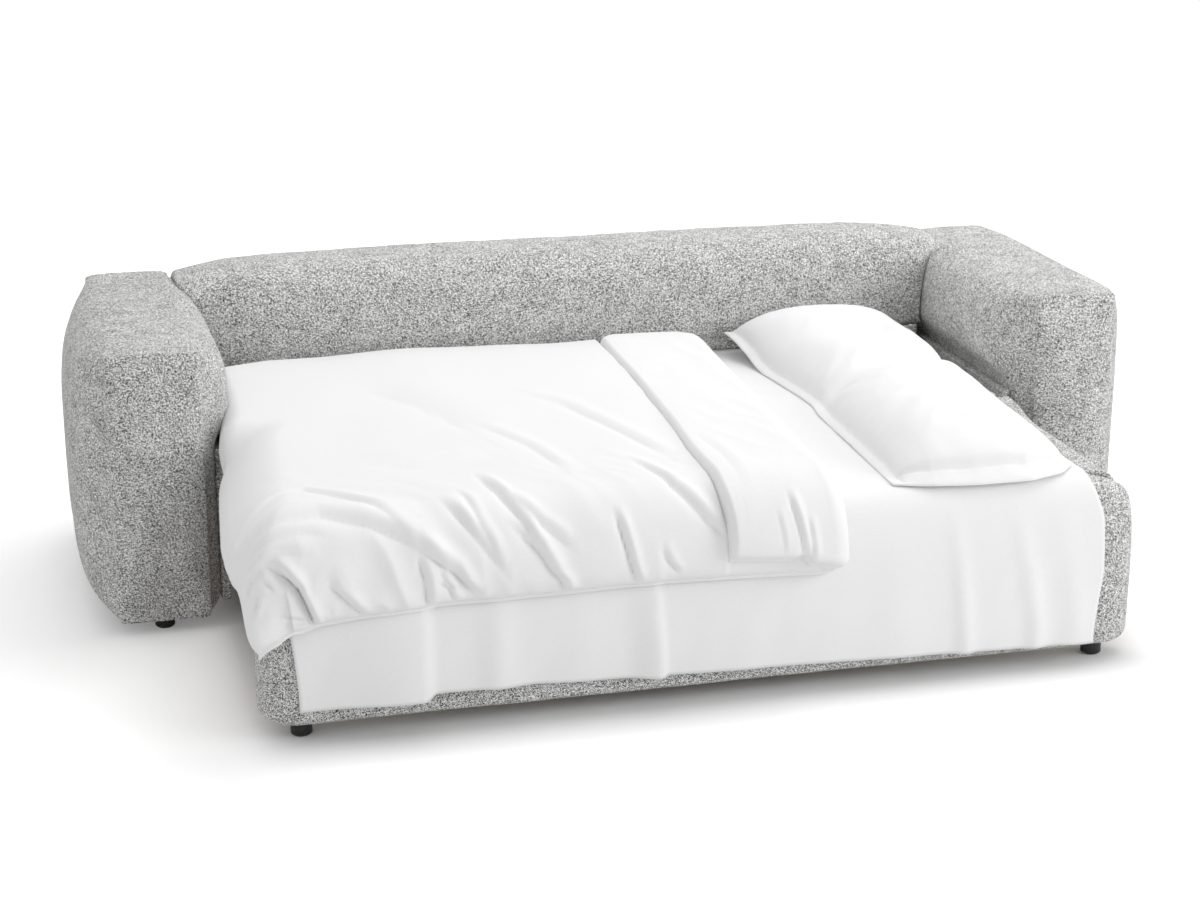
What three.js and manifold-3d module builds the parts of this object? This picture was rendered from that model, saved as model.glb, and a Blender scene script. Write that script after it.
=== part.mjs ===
// Sleeper sofa with a pull-out bed, made up with a sheet, a duvet and a pillow.
// Millimetres, +X along the sofa, +Y towards its back, +Z up. Every sub-part is built with y = 0 at the
// front seams of the arms, and the whole group is then moved so that its origin is the middle of its base.
import * as THREE from 'three';
import { mergeVertices } from 'three/addons/utils/BufferGeometryUtils.js';
import Module from 'manifold-3d';

const wasm = await Module();
wasm.setup();

// Clearances
const seatGap = 0.3;
const runningGap = 0.6;
const cutOverrun = 5;
const turnedSides = 16;
const bedClearance = 8;
const flatBaseShare = 1.03;

// The room between the fixed side boards, which the bed fills, and the side boards themselves
const bedHalfWidth = 917;
const sideBoardThickness = 21;
const sideBoardFrontY = 60;
const sideBoardBottom = 45;
const sideBoardTop = 397;

// Arms: stuffed blocks between two sewn end panels
const armInnerReach = 127.7;
const armCentreX = bedHalfWidth + sideBoardThickness + seatGap + armInnerReach;
const armEndHalfWidth = 98;
const armSideSwell = 84;
const armDepth = 770;
const armEndSwell = 42;
const upholsteryBottom = 31;
const armEndTop = 635;
const armCrown = 12;
const armEndSquareness = 8;
const armMiddleSquareness = 3.6;
const armFrameThickness = 60;
const armFrameInset = 95;

// Feet: turned discs under the upholstery
const footRadius = 22;
const footFaceRadius = 18;
const footCollar = 4;
const armFootInset = 55;
const bedFootInset = 60;
const bedFootSideInset = 83;
const backFootX = 420;

// Bed: the pull-out front unit and the rear section behind its slanting joint
const bedFrontY = -662;
const blockSideReach = 19;
const blockHalfWidth = bedHalfWidth + blockSideReach;
const blockDepth = 87;
const blockCornerRadius = 78;
const blockBeltHeight = 217;
const blockEndTopShare = 0.48;
const blockEndBaseShare = 0.86;
const blockTopSquareness = 2.6;
const blockBaseSquareness = 12;
const frontBoardThickness = 18;
const frontBoardTopRoom = 34;
const bedTop = 402;
const padCrown = 5;
const padThickness = 100;
const slatThickness = 12;
const slatWidth = 70;
const frontPadSideRoom = 12;
const rearPadSideRoom = 28;
const frontPadHalfWidth = bedHalfWidth - frontPadSideRoom;
const padSideDrawIn = 17;
const rearPadHalfWidth = bedHalfWidth - rearPadSideRoom;
const rearPadEndY = 525;
const jointTopY = 0;
const jointLength = 185;
const jointEdge = 13;
const jointGap = 3;
const padLip = 16;
const rampBoardThickness = 6;
const frontSlatCount = 5;
const rearSlatCount = 4;

// Slides: the bed's travel, the beams that carry it and the ramps of the rear section
const beamWidth = 18;
const beamHeight = 40;
const beamWall = 2.5;
const beamBottom = 290;
const beamTailY = 180;
const supportRollerRadius = 16;
const rollerWidth = 12;
const spindleRadius = 5;
const supportRollerPlaces = [85, 170, 520];
const rampDegrees = 40;
const rampTravel = 330;
const rampRollerRadius = 12;
const rampRollerHeight = 262;
const rampRollerPlaces = [70, 480];
const channelWall = 2.5;
const channelWidth = 19;
const channelEndRoom = 6;
const rearFrameSideRoom = 49;
const rearFrameHalfWidth = bedHalfWidth - rearFrameSideRoom;
const rearFrameThickness = 18;
const rearFrameHeight = 38;
const crossBoardThickness = 20;

// Back: a stuffed bolster on a shelf, with a panel behind it
const bolsterEndReach = 33;
const bolsterHalfLength = bedHalfWidth + bolsterEndReach;
const bolsterFrontY = 528;
const bolsterDepth = 300;
const bolsterTop = 681;
const bolsterEndDropShare = 0.24;
const bolsterSquareness = 3;
const bolsterBaseSquareness = 7;
const backPanelY = 790;
const backPanelThickness = 18;
const backPanelTop = 620;
const shelfBottom = 414;
const shelfThickness = 15;
const shelfFrontY = 545;
const shelfEndRoom = 27;
const shelfHalfLength = bedHalfWidth - shelfEndRoom;
const lowerCoverThickness = 18;

// Bedding
const beddingCrown = 0.5;
const sheetThickness = 4;
const sheetLeftInset = 73;
const sheetRightInset = 88;
const sheetLeftX = -(blockHalfWidth - sheetLeftInset);
const sheetRightX = blockHalfWidth - sheetRightInset;
const sheetHem = 66;
const sheetFoldDepth = 9;
const sheetFoldWidth = 34;
const duvetThickness = 78;
const duvetRightInset = 674;
const duvetRightX = blockHalfWidth - duvetRightInset;
const duvetSideReach = 38;
const duvetFrontReach = 30;
const duvetHem = 256;
const duvetTongue = 46;
const duvetSideHem = 345;
const duvetTongueShare = 0.35;
const duvetBackY = 505;
const duvetFoldHeight = 9;
const duvetEdge = 8;
const duvetClearance = 3;
const duvetArmGap = 7;
const duvetEndRamp = 5;
const duvetWaveLength = 62;
const duvetFanCount = 2;
const turnbackWidth = 235;
const turnbackHeight = 26;
const pillowSideInset = 358;
const pillowMiddleY = -72;
const pillowLength = 1160;
const pillowWidth = 436;
const pillowHeight = 132;
const pillowNotchShare = 0.3;
const pillowPinchShare = 0.16;
const pillowSquareness = 2.4;

// Finishes
const paint = (color, roughness, metalness) => new THREE.MeshStandardMaterial({ color, roughness, metalness });
const tweed = paint(0xa9a9a7, 0.95, 0);
const plywood = paint(0xb9965f, 0.7, 0);
const timber = paint(0xc8a876, 0.75, 0);
const steel = paint(0x8d9196, 0.4, 0.9);
const nylon = paint(0x2b2c2e, 0.5, 0);
const footPlastic = paint(0x141414, 0.3, 0);
const cotton = paint(0xf4f4f4, 0.85, 0);

const sofa = new THREE.Group();

// Names a finished shape and hangs it in the sofa's group.
function addPart(name, geometry, material) {
  const mesh = new THREE.Mesh(geometry, material);
  mesh.name = name;
  sofa.add(mesh);
  return mesh;
}

// Keeps only the positions, with shared vertices merged.
function bare(geometry) {
  geometry.deleteAttribute('normal');
  geometry.deleteAttribute('uv');
  return mergeVertices(geometry);
}

// A closed body from points and triangles, with its faces turned outwards.
function closedBody(points, triangles) {
  let volume = 0;
  for (const [a, b, c] of triangles) {
    volume += points[a].dot(new THREE.Vector3().crossVectors(points[b], points[c]));
  }
  const index = triangles.flatMap(([a, b, c]) => (volume > 0 ? [a, b, c] : [a, c, b]));
  const geometry = new THREE.BufferGeometry().setFromPoints(points);
  geometry.setIndex(index);
  return geometry;
}

// Joins a row of equal rings into a skin. close(rows, points) gives the triangles of its two ends.
function loft(rows, close) {
  const count = rows[0].length;
  const points = rows.flat();
  const triangles = [];
  for (let row = 0; row + 1 < rows.length; row += 1) {
    for (let i = 0; i < count; i += 1) {
      const [a, b] = [row * count + i, row * count + ((i + 1) % count)];
      triangles.push([a, b, b + count], [a, b + count, a + count]);
    }
  }
  triangles.push(...close(rows, points));
  return closedBody(points, triangles);
}

// Closes both ends of a skin with triangles round a middle point.
function fanEnds(rows, points) {
  const count = rows[0].length;
  const lastRow = (rows.length - 1) * count;
  const first = points.push(middle(rows[0])) - 1;
  const last = points.push(middle(rows[rows.length - 1])) - 1;
  return rows[0].flatMap((_, i) => {
    const next = (i + 1) % count;
    return [[first, next, i], [last, lastRow + i, lastRow + next]];
  });
}

// Triangles that fill a ring lying in a plane across X, whatever its outline.
function fillRing(ring, firstIndex, reversed) {
  const contour = ring.map((point) => new THREE.Vector2(point.y, point.z));
  const turn = Math.sign(THREE.ShapeUtils.area(contour)) * (reversed ? -1 : 1);
  return THREE.ShapeUtils.triangulateShape(contour, []).map((corners) => {
    const area = THREE.ShapeUtils.area(corners.map((i) => contour[i]));
    const [a, b, c] = Math.sign(area) === turn ? corners : corners.slice().reverse();
    return [firstIndex + a, firstIndex + b, firstIndex + c];
  });
}

// Closes both ends of a skin whose end rings lie in planes across X.
function flatEnds(rows) {
  const lastRow = (rows.length - 1) * rows[0].length;
  return [...fillRing(rows[0], 0, true), ...fillRing(rows[rows.length - 1], lastRow, false)];
}

// A skin closed by rings that draw in and swell outwards along one axis.
function stuffed(rings, axis, swell, capShares) {
  const cap = (ring, outwards) => capShares.map((share) => drawnIn(ring, axis, share, outwards * swell));
  const rows = [...cap(rings[0], -1).reverse(), ...rings, ...cap(rings[rings.length - 1], 1)];
  return loft(rows, fanEnds);
}

// A ring drawn in towards its middle, and pushed out along one axis as it closes.
function drawnIn(ring, axis, share, swell) {
  const centre = middle(ring);
  return ring.map((point) => {
    const drawn = point.clone().lerp(centre, 1 - share);
    drawn[axis] += swell * (1 - share * share);
    return drawn;
  });
}

function middle(ring) {
  const sum = ring.reduce((total, point) => total.add(point), new THREE.Vector3());
  return sum.divideScalar(ring.length);
}

const signedPower = (value, power) => Math.sign(value) * Math.abs(value) ** power;
const smooth = (value, low, high) => {
  const share = Math.min(1, Math.max(0, (value - low) / (high - low)));
  return share * share * (3 - 2 * share);
};
const steps = (count) => Array.from({ length: count + 1 }, (_, i) => i / count);
const cosineSteps = (count) => steps(count).map((share) => -Math.cos(Math.PI * share));

// Points round a squared oval that stands on a flat base, as pairs from -1 to 1.
function squaredOval(count, topSquareness, baseSquareness = topSquareness) {
  return Array.from({ length: count }, (_, i) => {
    const angle = (2 * Math.PI * (i + 0.5)) / count;
    const squareness = Math.sin(angle) > 0 ? topSquareness : baseSquareness;
    const up = signedPower(Math.sin(angle), 2 / squareness);
    return [signedPower(Math.cos(angle), 2 / squareness), Math.max(-1, up * (up < 0 ? flatBaseShare : 1))];
  });
}

// Turns a closed mesh into a solid that can be cut, and back.
function solid(geometry) {
  const clean = bare(geometry.index ? geometry.toNonIndexed() : geometry);
  const vertProperties = new Float32Array(clean.attributes.position.array);
  return new wasm.Manifold(new wasm.Mesh({ numProp: 3, vertProperties, triVerts: new Uint32Array(clean.index.array) }));
}

function fromSolid(body) {
  const { numProp, vertProperties, triVerts } = body.getMesh();
  const points = [];
  for (let i = 0; i < vertProperties.length; i += numProp) {
    points.push(new THREE.Vector3(vertProperties[i], vertProperties[i + 1], vertProperties[i + 2]));
  }
  const geometry = new THREE.BufferGeometry().setFromPoints(points);
  geometry.setIndex(Array.from(triVerts));
  return geometry;
}

// A straight board between two corners.
function boardShape([x0, y0, z0], [x1, y1, z1]) {
  const box = new THREE.BoxGeometry(Math.abs(x1 - x0), Math.abs(y1 - y0), Math.abs(z1 - z0));
  return bare(box.translate((x0 + x1) / 2, (y0 + y1) / 2, (z0 + z1) / 2));
}

// An outline in the YZ plane, pushed along X from one side to the other.
function sidewaysExtrusion(outline, fromX, toX) {
  const shape = new THREE.Shape(outline.map(([y, z]) => new THREE.Vector2(y, z)));
  const body = new THREE.ExtrudeGeometry(shape, { depth: toX - fromX, bevelEnabled: false });
  const turn = new THREE.Matrix4().set(0, 0, 1, fromX, 1, 0, 0, 0, 0, 1, 0, 0, 0, 0, 0, 1);
  return bare(body.applyMatrix4(turn));
}

// A turned piece whose axis runs along X, from a profile of [radius, distance along the axis].
function turnedAlongX(profile, x, y, z, facing, segments) {
  const lathe = new THREE.LatheGeometry(profile.map(([r, h]) => new THREE.Vector2(r, h)), segments);
  lathe.rotateZ((-Math.PI / 2) * facing);
  return bare(lathe.translate(x, y, z));
}

const sides = [['left', -1], ['right', 1]];
const innerReach = armCentreX - (bedHalfWidth + sideBoardThickness + seatGap);

// How far an arm has swollen at a distance along it, from 0 at its end panels to 1 in the middle.
function armFullness(share) {
  return (1 - Math.abs(share) ** 3.2) ** 0.65;
}

// An arm's skin, wrapped from end panel to end panel. It lies flat against the fixed side board below the
// mattress and swells over it above. extra thickens it, for cutting its neighbours to a clearance.
function armShape(side, extra) {
  const middleZ = (upholsteryBottom + armEndTop) / 2;
  const halfHeight = (armEndTop - upholsteryBottom) / 2;
  const rings = cosineSteps(12).map((share) => {
    const full = armFullness(share);
    const squareness = armEndSquareness + (armMiddleSquareness - armEndSquareness) * full;
    const y = armDepth / 2 + share * (armDepth / 2 + extra);
    return squaredOval(26, squareness).map(([across, up]) => {
      const z = middleZ + up * (halfHeight + (up > 0 ? armCrown * full : 0) + extra);
      const reach = (armEndHalfWidth + armSideSwell * full) * Math.abs(across);
      const clearOfBed = smooth(z, bedTop, bedTop + armSideSwell);
      const limit = innerReach + (armEndHalfWidth + armSideSwell - innerReach) * clearOfBed;
      const width = across < 0 ? Math.min(reach, Math.max(limit, 0)) + extra : reach + extra;
      return new THREE.Vector3(side * (armCentreX + Math.sign(across) * width), y, z);
    });
  });
  return stuffed(rings, 'y', armEndSwell, [0.86, 0.6, 0.3]);
}

// Arms with the panel frame that stands inside each of them
function addArms() {
  for (const [name, side] of sides) {
    const inner = [armCentreX - armFrameThickness / 2, armFrameInset, upholsteryBottom - cutOverrun];
    const outer = [armCentreX + armFrameThickness / 2, armDepth - armFrameInset, armEndTop - armFrameInset];
    const grown = [
      [side * (inner[0] - seatGap), inner[1] - seatGap, inner[2]],
      [side * (outer[0] + seatGap), outer[1] + seatGap, outer[2] + seatGap],
    ];
    const pocket = solid(boardShape(...grown));
    const bedSide = solid(boardShape(
      [0, -armEndSwell - cutOverrun, 0],
      [side * (armCentreX - innerReach), armDepth + armEndSwell + cutOverrun, bedTop + bedClearance],
    ));
    const cover = solid(armShape(side, 0)).subtract(pocket).subtract(bedSide);
    addPart(`arm_${name}_cover`, fromSolid(cover), tweed);
    const base = [side * inner[0], inner[1], upholsteryBottom];
    addPart(`arm_${name}_frame`, boardShape(base, [side * outer[0], outer[1], outer[2]]), plywood);
  }
}

// A short turned foot with a flat sole and a collar under the upholstery
function addFoot(name, x, y, top) {
  const profile = [[0, 0], [footFaceRadius, 0], [footRadius, footCollar], [footRadius, top], [0, top]];
  const lathe = new THREE.LatheGeometry(profile.map(([r, z]) => new THREE.Vector2(r, z)), turnedSides);
  addPart(name, bare(lathe.rotateX(Math.PI / 2).translate(x, y, 0)), footPlastic);
}

function addFeet() {
  const top = upholsteryBottom - seatGap;
  for (const [name, side] of sides) {
    addFoot(`foot_arm_${name}_front`, side * armCentreX, armFootInset, top);
    addFoot(`foot_arm_${name}_rear`, side * armCentreX, armDepth - armFootInset, top);
    addFoot(`foot_back_${name}`, side * backFootX, backPanelY + backPanelThickness / 2, top);
    addFoot(`foot_bed_${name}`, side * (blockHalfWidth - bedFootSideInset), bedFrontY + bedFootInset, top);
  }
}

// The back: bolster, shelf, panel and the flat cover over the panel's lower half
function bolsterShape() {
  const bottom = shelfBottom + shelfThickness + seatGap;
  const centreY = bolsterFrontY + bolsterDepth / 2;
  const centreZ = (bottom + bolsterTop) / 2;
  const halfHeight = (bolsterTop - bottom) / 2;
  const rings = cosineSteps(16).map((share) => {
    const drop = bolsterEndDropShare * Math.abs(share) ** 8;
    return squaredOval(28, bolsterSquareness, bolsterBaseSquareness).map(([across, up]) => {
      const y = centreY + across * (bolsterDepth / 2) * (1 - drop);
      const z = centreZ + up * halfHeight - (up > 0 ? drop * up * halfHeight : 0);
      return new THREE.Vector3(share * bolsterHalfLength, y, z);
    });
  });
  return stuffed(rings, 'x', armEndSwell / 2, [0.8, 0.4]);
}

function addBack() {
  const outerX = bedHalfWidth + sideBoardThickness;
  const shelfTop = shelfBottom + shelfThickness;
  const slot = solid(boardShape(
    [-outerX - cutOverrun, backPanelY - seatGap, shelfBottom - cutOverrun],
    [outerX + cutOverrun, backPanelY + backPanelThickness + seatGap, backPanelTop + seatGap],
  ));
  let bolster = solid(bolsterShape()).subtract(slot);
  for (const [, side] of sides) {
    bolster = bolster.subtract(solid(armShape(side, runningGap)));
  }
  addPart('back_bolster', fromSolid(bolster), tweed);
  const panelBackY = backPanelY + backPanelThickness;
  addPart('back_panel', boardShape(
    [-outerX, backPanelY, upholsteryBottom],
    [outerX, panelBackY, backPanelTop],
  ), plywood);
  addPart('back_shelf', boardShape(
    [-shelfHalfLength, shelfFrontY, shelfBottom],
    [shelfHalfLength, backPanelY - seatGap, shelfTop],
  ), plywood);
  addPart('back_lower_cover', boardShape(
    [-outerX, panelBackY + seatGap, upholsteryBottom],
    [outerX, panelBackY + seatGap + lowerCoverThickness, shelfTop],
  ), tweed);
}

// A straight cylinder through a board, cut for a roller's spindle
function spindleHole(x, thickness, y, z) {
  const radius = spindleRadius + seatGap;
  const hole = new THREE.CylinderGeometry(radius, radius, thickness + 2 * cutOverrun, turnedSides);
  return solid(bare(hole.rotateZ(Math.PI / 2).translate(x, y, z)));
}

const supportRollerZ = beamBottom + beamHeight - beamWall - seatGap - supportRollerRadius;

// A roller that turns with its own spindle. The spindle reaches from the roller's outer face into its bearing.
function rollerProfile(radius, spindleLength) {
  const chamfer = spindleRadius / 4;
  return [
    [0, 0], [radius - chamfer, 0], [radius, chamfer], [radius, rollerWidth - chamfer],
    [radius - chamfer, rollerWidth], [spindleRadius, rollerWidth], [spindleRadius, rollerWidth + spindleLength],
    [0, rollerWidth + spindleLength],
  ];
}

// Fixed side boards between the arms and the bed, with the rollers that the bed's beams run on
function addSideBoards() {
  const rollerX = bedHalfWidth - beamWidth + beamWall + seatGap;
  for (const [name, side] of sides) {
    let board = solid(boardShape(
      [side * bedHalfWidth, sideBoardFrontY, sideBoardBottom],
      [side * (bedHalfWidth + sideBoardThickness), backPanelY - seatGap, sideBoardTop],
    ));
    for (const y of supportRollerPlaces) {
      const middleX = side * (bedHalfWidth + sideBoardThickness / 2);
      board = board.subtract(spindleHole(middleX, sideBoardThickness, y, supportRollerZ));
    }
    addPart(`side_board_${name}`, fromSolid(board), tweed);
    const spindleLength = bedHalfWidth + sideBoardThickness - rollerX - rollerWidth;
    const profile = rollerProfile(supportRollerRadius, spindleLength);
    supportRollerPlaces.forEach((y, i) => {
      const body = turnedAlongX(profile, side * rollerX, y, supportRollerZ, side, turnedSides);
      addPart(`support_roller_${name}_${i + 1}`, body, nylon);
    });
  }
}

// Places a flat outline, drawn along and across the ramp from a roller's axis, on the ramp's slope.
function onRamp(outline, y, z) {
  const slope = THREE.MathUtils.degToRad(rampDegrees);
  return outline.map(([along, out]) => [
    y + along * Math.cos(slope) + out * Math.sin(slope),
    z - along * Math.sin(slope) + out * Math.cos(slope),
  ]);
}

// Steel channels on the side boards that guide the rear section down and back
function addRampChannels() {
  const inner = rampRollerRadius + seatGap;
  const outer = inner + channelWall;
  const start = -inner - channelEndRoom;
  const end = rampTravel + inner + channelEndRoom;
  const strip = (half, past) => [
    [start - past, -half], [end + past, -half], [end + past, half], [start - past, half],
  ];
  for (const [name, side] of sides) {
    rampRollerPlaces.forEach((y, i) => {
      const wallX = side * (bedHalfWidth - seatGap);
      const openX = side * (bedHalfWidth - channelWidth);
      const webX = side * (bedHalfWidth - seatGap - channelWall);
      const outside = onRamp(strip(outer, 0), y, rampRollerHeight);
      const inside = onRamp(strip(inner, cutOverrun), y, rampRollerHeight);
      const body = solid(sidewaysExtrusion(outside, ...order(openX, wallX)));
      const hollow = solid(sidewaysExtrusion(inside, ...order(openX - side * cutOverrun, webX)));
      addPart(`ramp_channel_${name}_${i + 1}`, fromSolid(body.subtract(hollow)), steel);
    });
  }
}

const order = (a, b) => [Math.min(a, b), Math.max(a, b)];

// The front block's outline at a place along the bed, as depth and height round its belly.
function blockOutline(count, extra) {
  return steps(count).map((share) => {
    const angle = -Math.PI / 2 + Math.PI * share;
    const squareness = angle > 0 ? blockTopSquareness : blockBaseSquareness;
    const reach = angle > 0 ? bedTop - blockBeltHeight : blockBeltHeight - upholsteryBottom;
    return [
      signedPower(Math.cos(angle), 2 / squareness) * (blockDepth + extra),
      blockBeltHeight + signedPower(Math.sin(angle), 2 / squareness) * (reach + extra),
    ];
  });
}

// How much of the block's depth is left near its rounded corners.
function cornerShare(x) {
  const past = Math.max(0, Math.abs(x) - (blockHalfWidth - blockCornerRadius)) / blockCornerRadius;
  return Math.sqrt(Math.max(0, 1 - past * past));
}

// The stuffed front of the bed, with its rounded top edge and corners. extra thickens it, for the bedding.
function frontBlockShape(extra) {
  const half = blockHalfWidth + extra;
  const backY = bedFrontY + blockDepth;
  const cornerShares = [0.97, 0.88, 0.72, 0.5, 0.25, 0];
  const corners = cornerShares.map((share) => half - blockCornerRadius * (1 - share));
  const flats = steps(8).slice(1, -1).map((share) => (2 * share - 1) * (half - blockCornerRadius));
  const places = [...corners.map((x) => -x), ...flats, ...corners.slice().reverse()];
  const rings = places.map((x) => {
    const depthShare = cornerShare(Math.abs(x) - extra);
    return blockOutline(16, extra).map(([depth, z]) => {
      const endShare = z > blockBeltHeight ? blockEndTopShare : blockEndBaseShare;
      const heightShare = endShare + (1 - endShare) * depthShare;
      const drawn = blockBeltHeight + (z - blockBeltHeight) * heightShare;
      return new THREE.Vector3(x, backY - depth * depthShare, Math.max(drawn, upholsteryBottom));
    });
  });
  return loft(rings, flatEnds);
}

const boardBackY = bedFrontY + blockDepth + seatGap + frontBoardThickness;
const padBottom = bedTop - padThickness;
const slatTop = padBottom - seatGap;
const slatBottom = slatTop - slatThickness;
const beamInnerX = bedHalfWidth - seatGap - beamWidth;
const lipBottom = bedTop - padLip;

// The front's cover and the board behind it, which carries the beams
function addBedFront() {
  addPart('bed_front_cover', frontBlockShape(0), tweed);
  const half = bedHalfWidth - 2 * seatGap;
  addPart('bed_front_board', boardShape(
    [-half, boardBackY - frontBoardThickness, upholsteryBottom + footRadius],
    [half, boardBackY, lipBottom - seatGap - frontBoardTopRoom],
  ), plywood);
}

// The slanting joint between the two pads, as a line that rises towards the back
const slantTopZ = bedTop - jointEdge;
const slantRiseShare = (slantTopZ - slatBottom) / jointLength;
const slantZ = (y) => slantTopZ + (y - jointTopY) * slantRiseShare;
const slantY = (z) => jointTopY + (z - slantTopZ) / slantRiseShare;
const alongSlant = (distance) => distance * Math.hypot(1, slantRiseShare);

// A flat cushion whose side outline is given, with a low crown and drawn-in sides.
function padShape(outline, halfWidth) {
  const acrossShares = [-1, -0.985, -0.8, -0.4, 0, 0.4, 0.8, 0.985, 1];
  const rings = acrossShares.map((share) => outline.map(([y, z, crownShare]) => {
    const crown = padCrown * crownShare * (1 - share ** 4);
    const half = halfWidth - (padSideDrawIn * (bedTop - z)) / padThickness;
    return new THREE.Vector3(share * half, y, z + crown);
  }));
  return loft(rings, flatEnds);
}

// Points along a cushion's top from its back to its front, with the crown's share at each of them.
function topLine(backY, frontY) {
  return steps(6).map((share) => [backY + (frontY - backY) * share, bedTop, 1 - (2 * share - 1) ** 4]);
}

// Steel beams, open outwards, that run over the support rollers
function addBeams() {
  const startY = boardBackY + seatGap;
  const outline = [
    [0, 0], [beamWidth, 0], [beamWidth, beamWall], [beamWall, beamWall],
    [beamWall, beamHeight - beamWall], [beamWidth, beamHeight - beamWall], [beamWidth, beamHeight], [0, beamHeight],
  ];
  for (const [name, side] of sides) {
    const shape = new THREE.Shape(outline.map(([x, z]) => new THREE.Vector2(side * (beamInnerX + x), beamBottom + z)));
    const beam = new THREE.ExtrudeGeometry(shape, { depth: beamTailY - startY, bevelEnabled: false });
    addPart(`bed_beam_${name}`, bare(beam.rotateX(Math.PI / 2).translate(0, beamTailY, 0)), steel);
  }
}

// Slats across the bed, spaced evenly between two places
function addSlats(name, count, frontY, backY, halfLength) {
  for (let i = 0; i < count; i += 1) {
    const y = frontY + ((backY - slatWidth - frontY) * i) / (count - 1);
    addPart(`${name}_${i + 1}`, boardShape([-halfLength, y, slatBottom], [halfLength, y + slatWidth, slatTop]), timber);
  }
}

// The pull-out unit's pad, and the board under the slanting end that rides over the rear section
function addFrontPad() {
  const boardRise = alongSlant(rampBoardThickness);
  const padRise = boardRise + alongSlant(seatGap);
  const startY = jointTopY - jointLength;
  const padFrontY = bedFrontY + blockDepth + seatGap;
  const pad = [
    [boardBackY + seatGap, padBottom, 0],
    [slantY(padBottom - padRise), padBottom, 0],
    [jointTopY, slantTopZ + padRise, 0],
    ...topLine(jointTopY, padFrontY),
    [padFrontY, lipBottom, 0],
    [boardBackY + seatGap, lipBottom, 0],
  ];
  addPart('bed_front_pad', padShape(pad, frontPadHalfWidth), tweed);
  const board = [
    [startY, slatBottom], [jointTopY, slantTopZ],
    [jointTopY, slantTopZ + boardRise], [startY, slatBottom + boardRise],
  ];
  const half = beamInnerX - seatGap;
  addPart('bed_ramp_board', sidewaysExtrusion(board, -half, half), plywood);
  addSlats('bed_slat', frontSlatCount, boardBackY + seatGap, startY - seatGap, half);
}

// The rear section: pad, slats and a frame on four rollers in the ramp channels
function addRearSection() {
  const jointDrop = alongSlant(jointGap);
  const frameTop = slatBottom - seatGap;
  const frameBottom = frameTop - rearFrameHeight;
  const tipY = slantY(padBottom + jointDrop);
  const frameFrontY = tipY + crossBoardThickness;
  const frameBackY = rearPadEndY - crossBoardThickness / 2;
  const pad = [
    [tipY, padBottom, 0],
    ...topLine(rearPadEndY, slantY(bedTop + jointDrop)).reverse(),
    [rearPadEndY, padBottom, 0],
  ];
  addPart('rear_pad', padShape(pad, rearPadHalfWidth), tweed);
  addSlats('rear_slat', rearSlatCount, frameFrontY, frameBackY, rearFrameHalfWidth);
  const inner = rearFrameHalfWidth - rearFrameThickness;
  const rollerOuterX = bedHalfWidth - seatGap - channelWall - runningGap;
  const spindleLength = rollerOuterX - rollerWidth - inner;
  const profile = rollerProfile(rampRollerRadius, spindleLength);
  for (const [name, side] of sides) {
    let board = solid(boardShape(
      [side * inner, frameFrontY, frameBottom],
      [side * rearFrameHalfWidth, frameBackY, frameTop],
    ));
    rampRollerPlaces.forEach((y, i) => {
      board = board.subtract(spindleHole(side * (inner + rearFrameThickness / 2), rearFrameThickness, y, rampRollerHeight));
      const body = turnedAlongX(profile, side * rollerOuterX, y, rampRollerHeight, -side, turnedSides);
      addPart(`ramp_roller_${name}_${i + 1}`, body, nylon);
    });
    addPart(`rear_side_${name}`, fromSolid(board), plywood);
  }
  const half = inner - seatGap;
  const boards = [['rear_cross_front', frameFrontY], ['rear_cross_back', frameBackY - crossBoardThickness]];
  for (const [name, y] of boards) {
    addPart(name, boardShape([-half, y, frameBottom], [half, y + crossBoardThickness, frameTop]), plywood);
  }
}

// The bed's top and front as one outline, from a place at the back to the hem in front, a little outside the
// pads. extra thickens it all over and lift moves only its front away.
const beddingRise = padCrown + seatGap;

function beddingLine(extra, lift, hem, backY) {
  const blockBackY = bedFrontY + blockDepth;
  const flatZ = bedTop + beddingRise + extra;
  const topZ = flatZ + lift;
  const reach = blockDepth + beddingRise + extra + lift;
  const top = steps(7).slice(0, -1).map((share) => {
    return [backY + (blockBackY - backY) * share, flatZ + beddingCrown * Math.sin(Math.PI * share)];
  });
  const hang = steps(8).map((share) => {
    const z = topZ - (topZ - hem) * (1 - Math.cos((Math.PI / 2) * share));
    const heightShare = Math.min(1, Math.max(0, (z - blockBeltHeight) / (topZ - blockBeltHeight)));
    return [blockBackY - reach * (1 - heightShare ** blockTopSquareness) ** (1 / blockTopSquareness), z];
  });
  return [...top, ...hang];
}

// The sheet's hanging folds: where each lies along the sheet, and its height, as shares
const sheetFoldShares = [[0.147, 0.9], [0.23, 0.45], [0.423, 0.8], [0.797, 0.5], [0.878, 0.45]];
const sheetFoldPlaces = sheetFoldShares.map(([share]) => sheetLeftX + (sheetRightX - sheetLeftX) * share);

// How far the sheet's hanging front waves out at a place along the bed
function sheetWave(x) {
  const height = (place, share) => share * Math.exp(-(((x - place) / sheetFoldWidth) ** 2));
  return sheetFoldShares.reduce((sum, [, share], i) => sum + height(sheetFoldPlaces[i], share), 0);
}

// The hem rises by a step near the left end and then runs slowly down to the right.
function sheetHemWave(x) {
  const step = smooth(x, sheetLeftX + sheetHem * 3, sheetLeftX + sheetHem * 4);
  const along = (x - sheetLeftX) / (sheetRightX - sheetLeftX);
  return sheetFoldDepth * (2 * step * (1 - along) - smooth(x, 0, sheetRightX));
}

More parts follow.
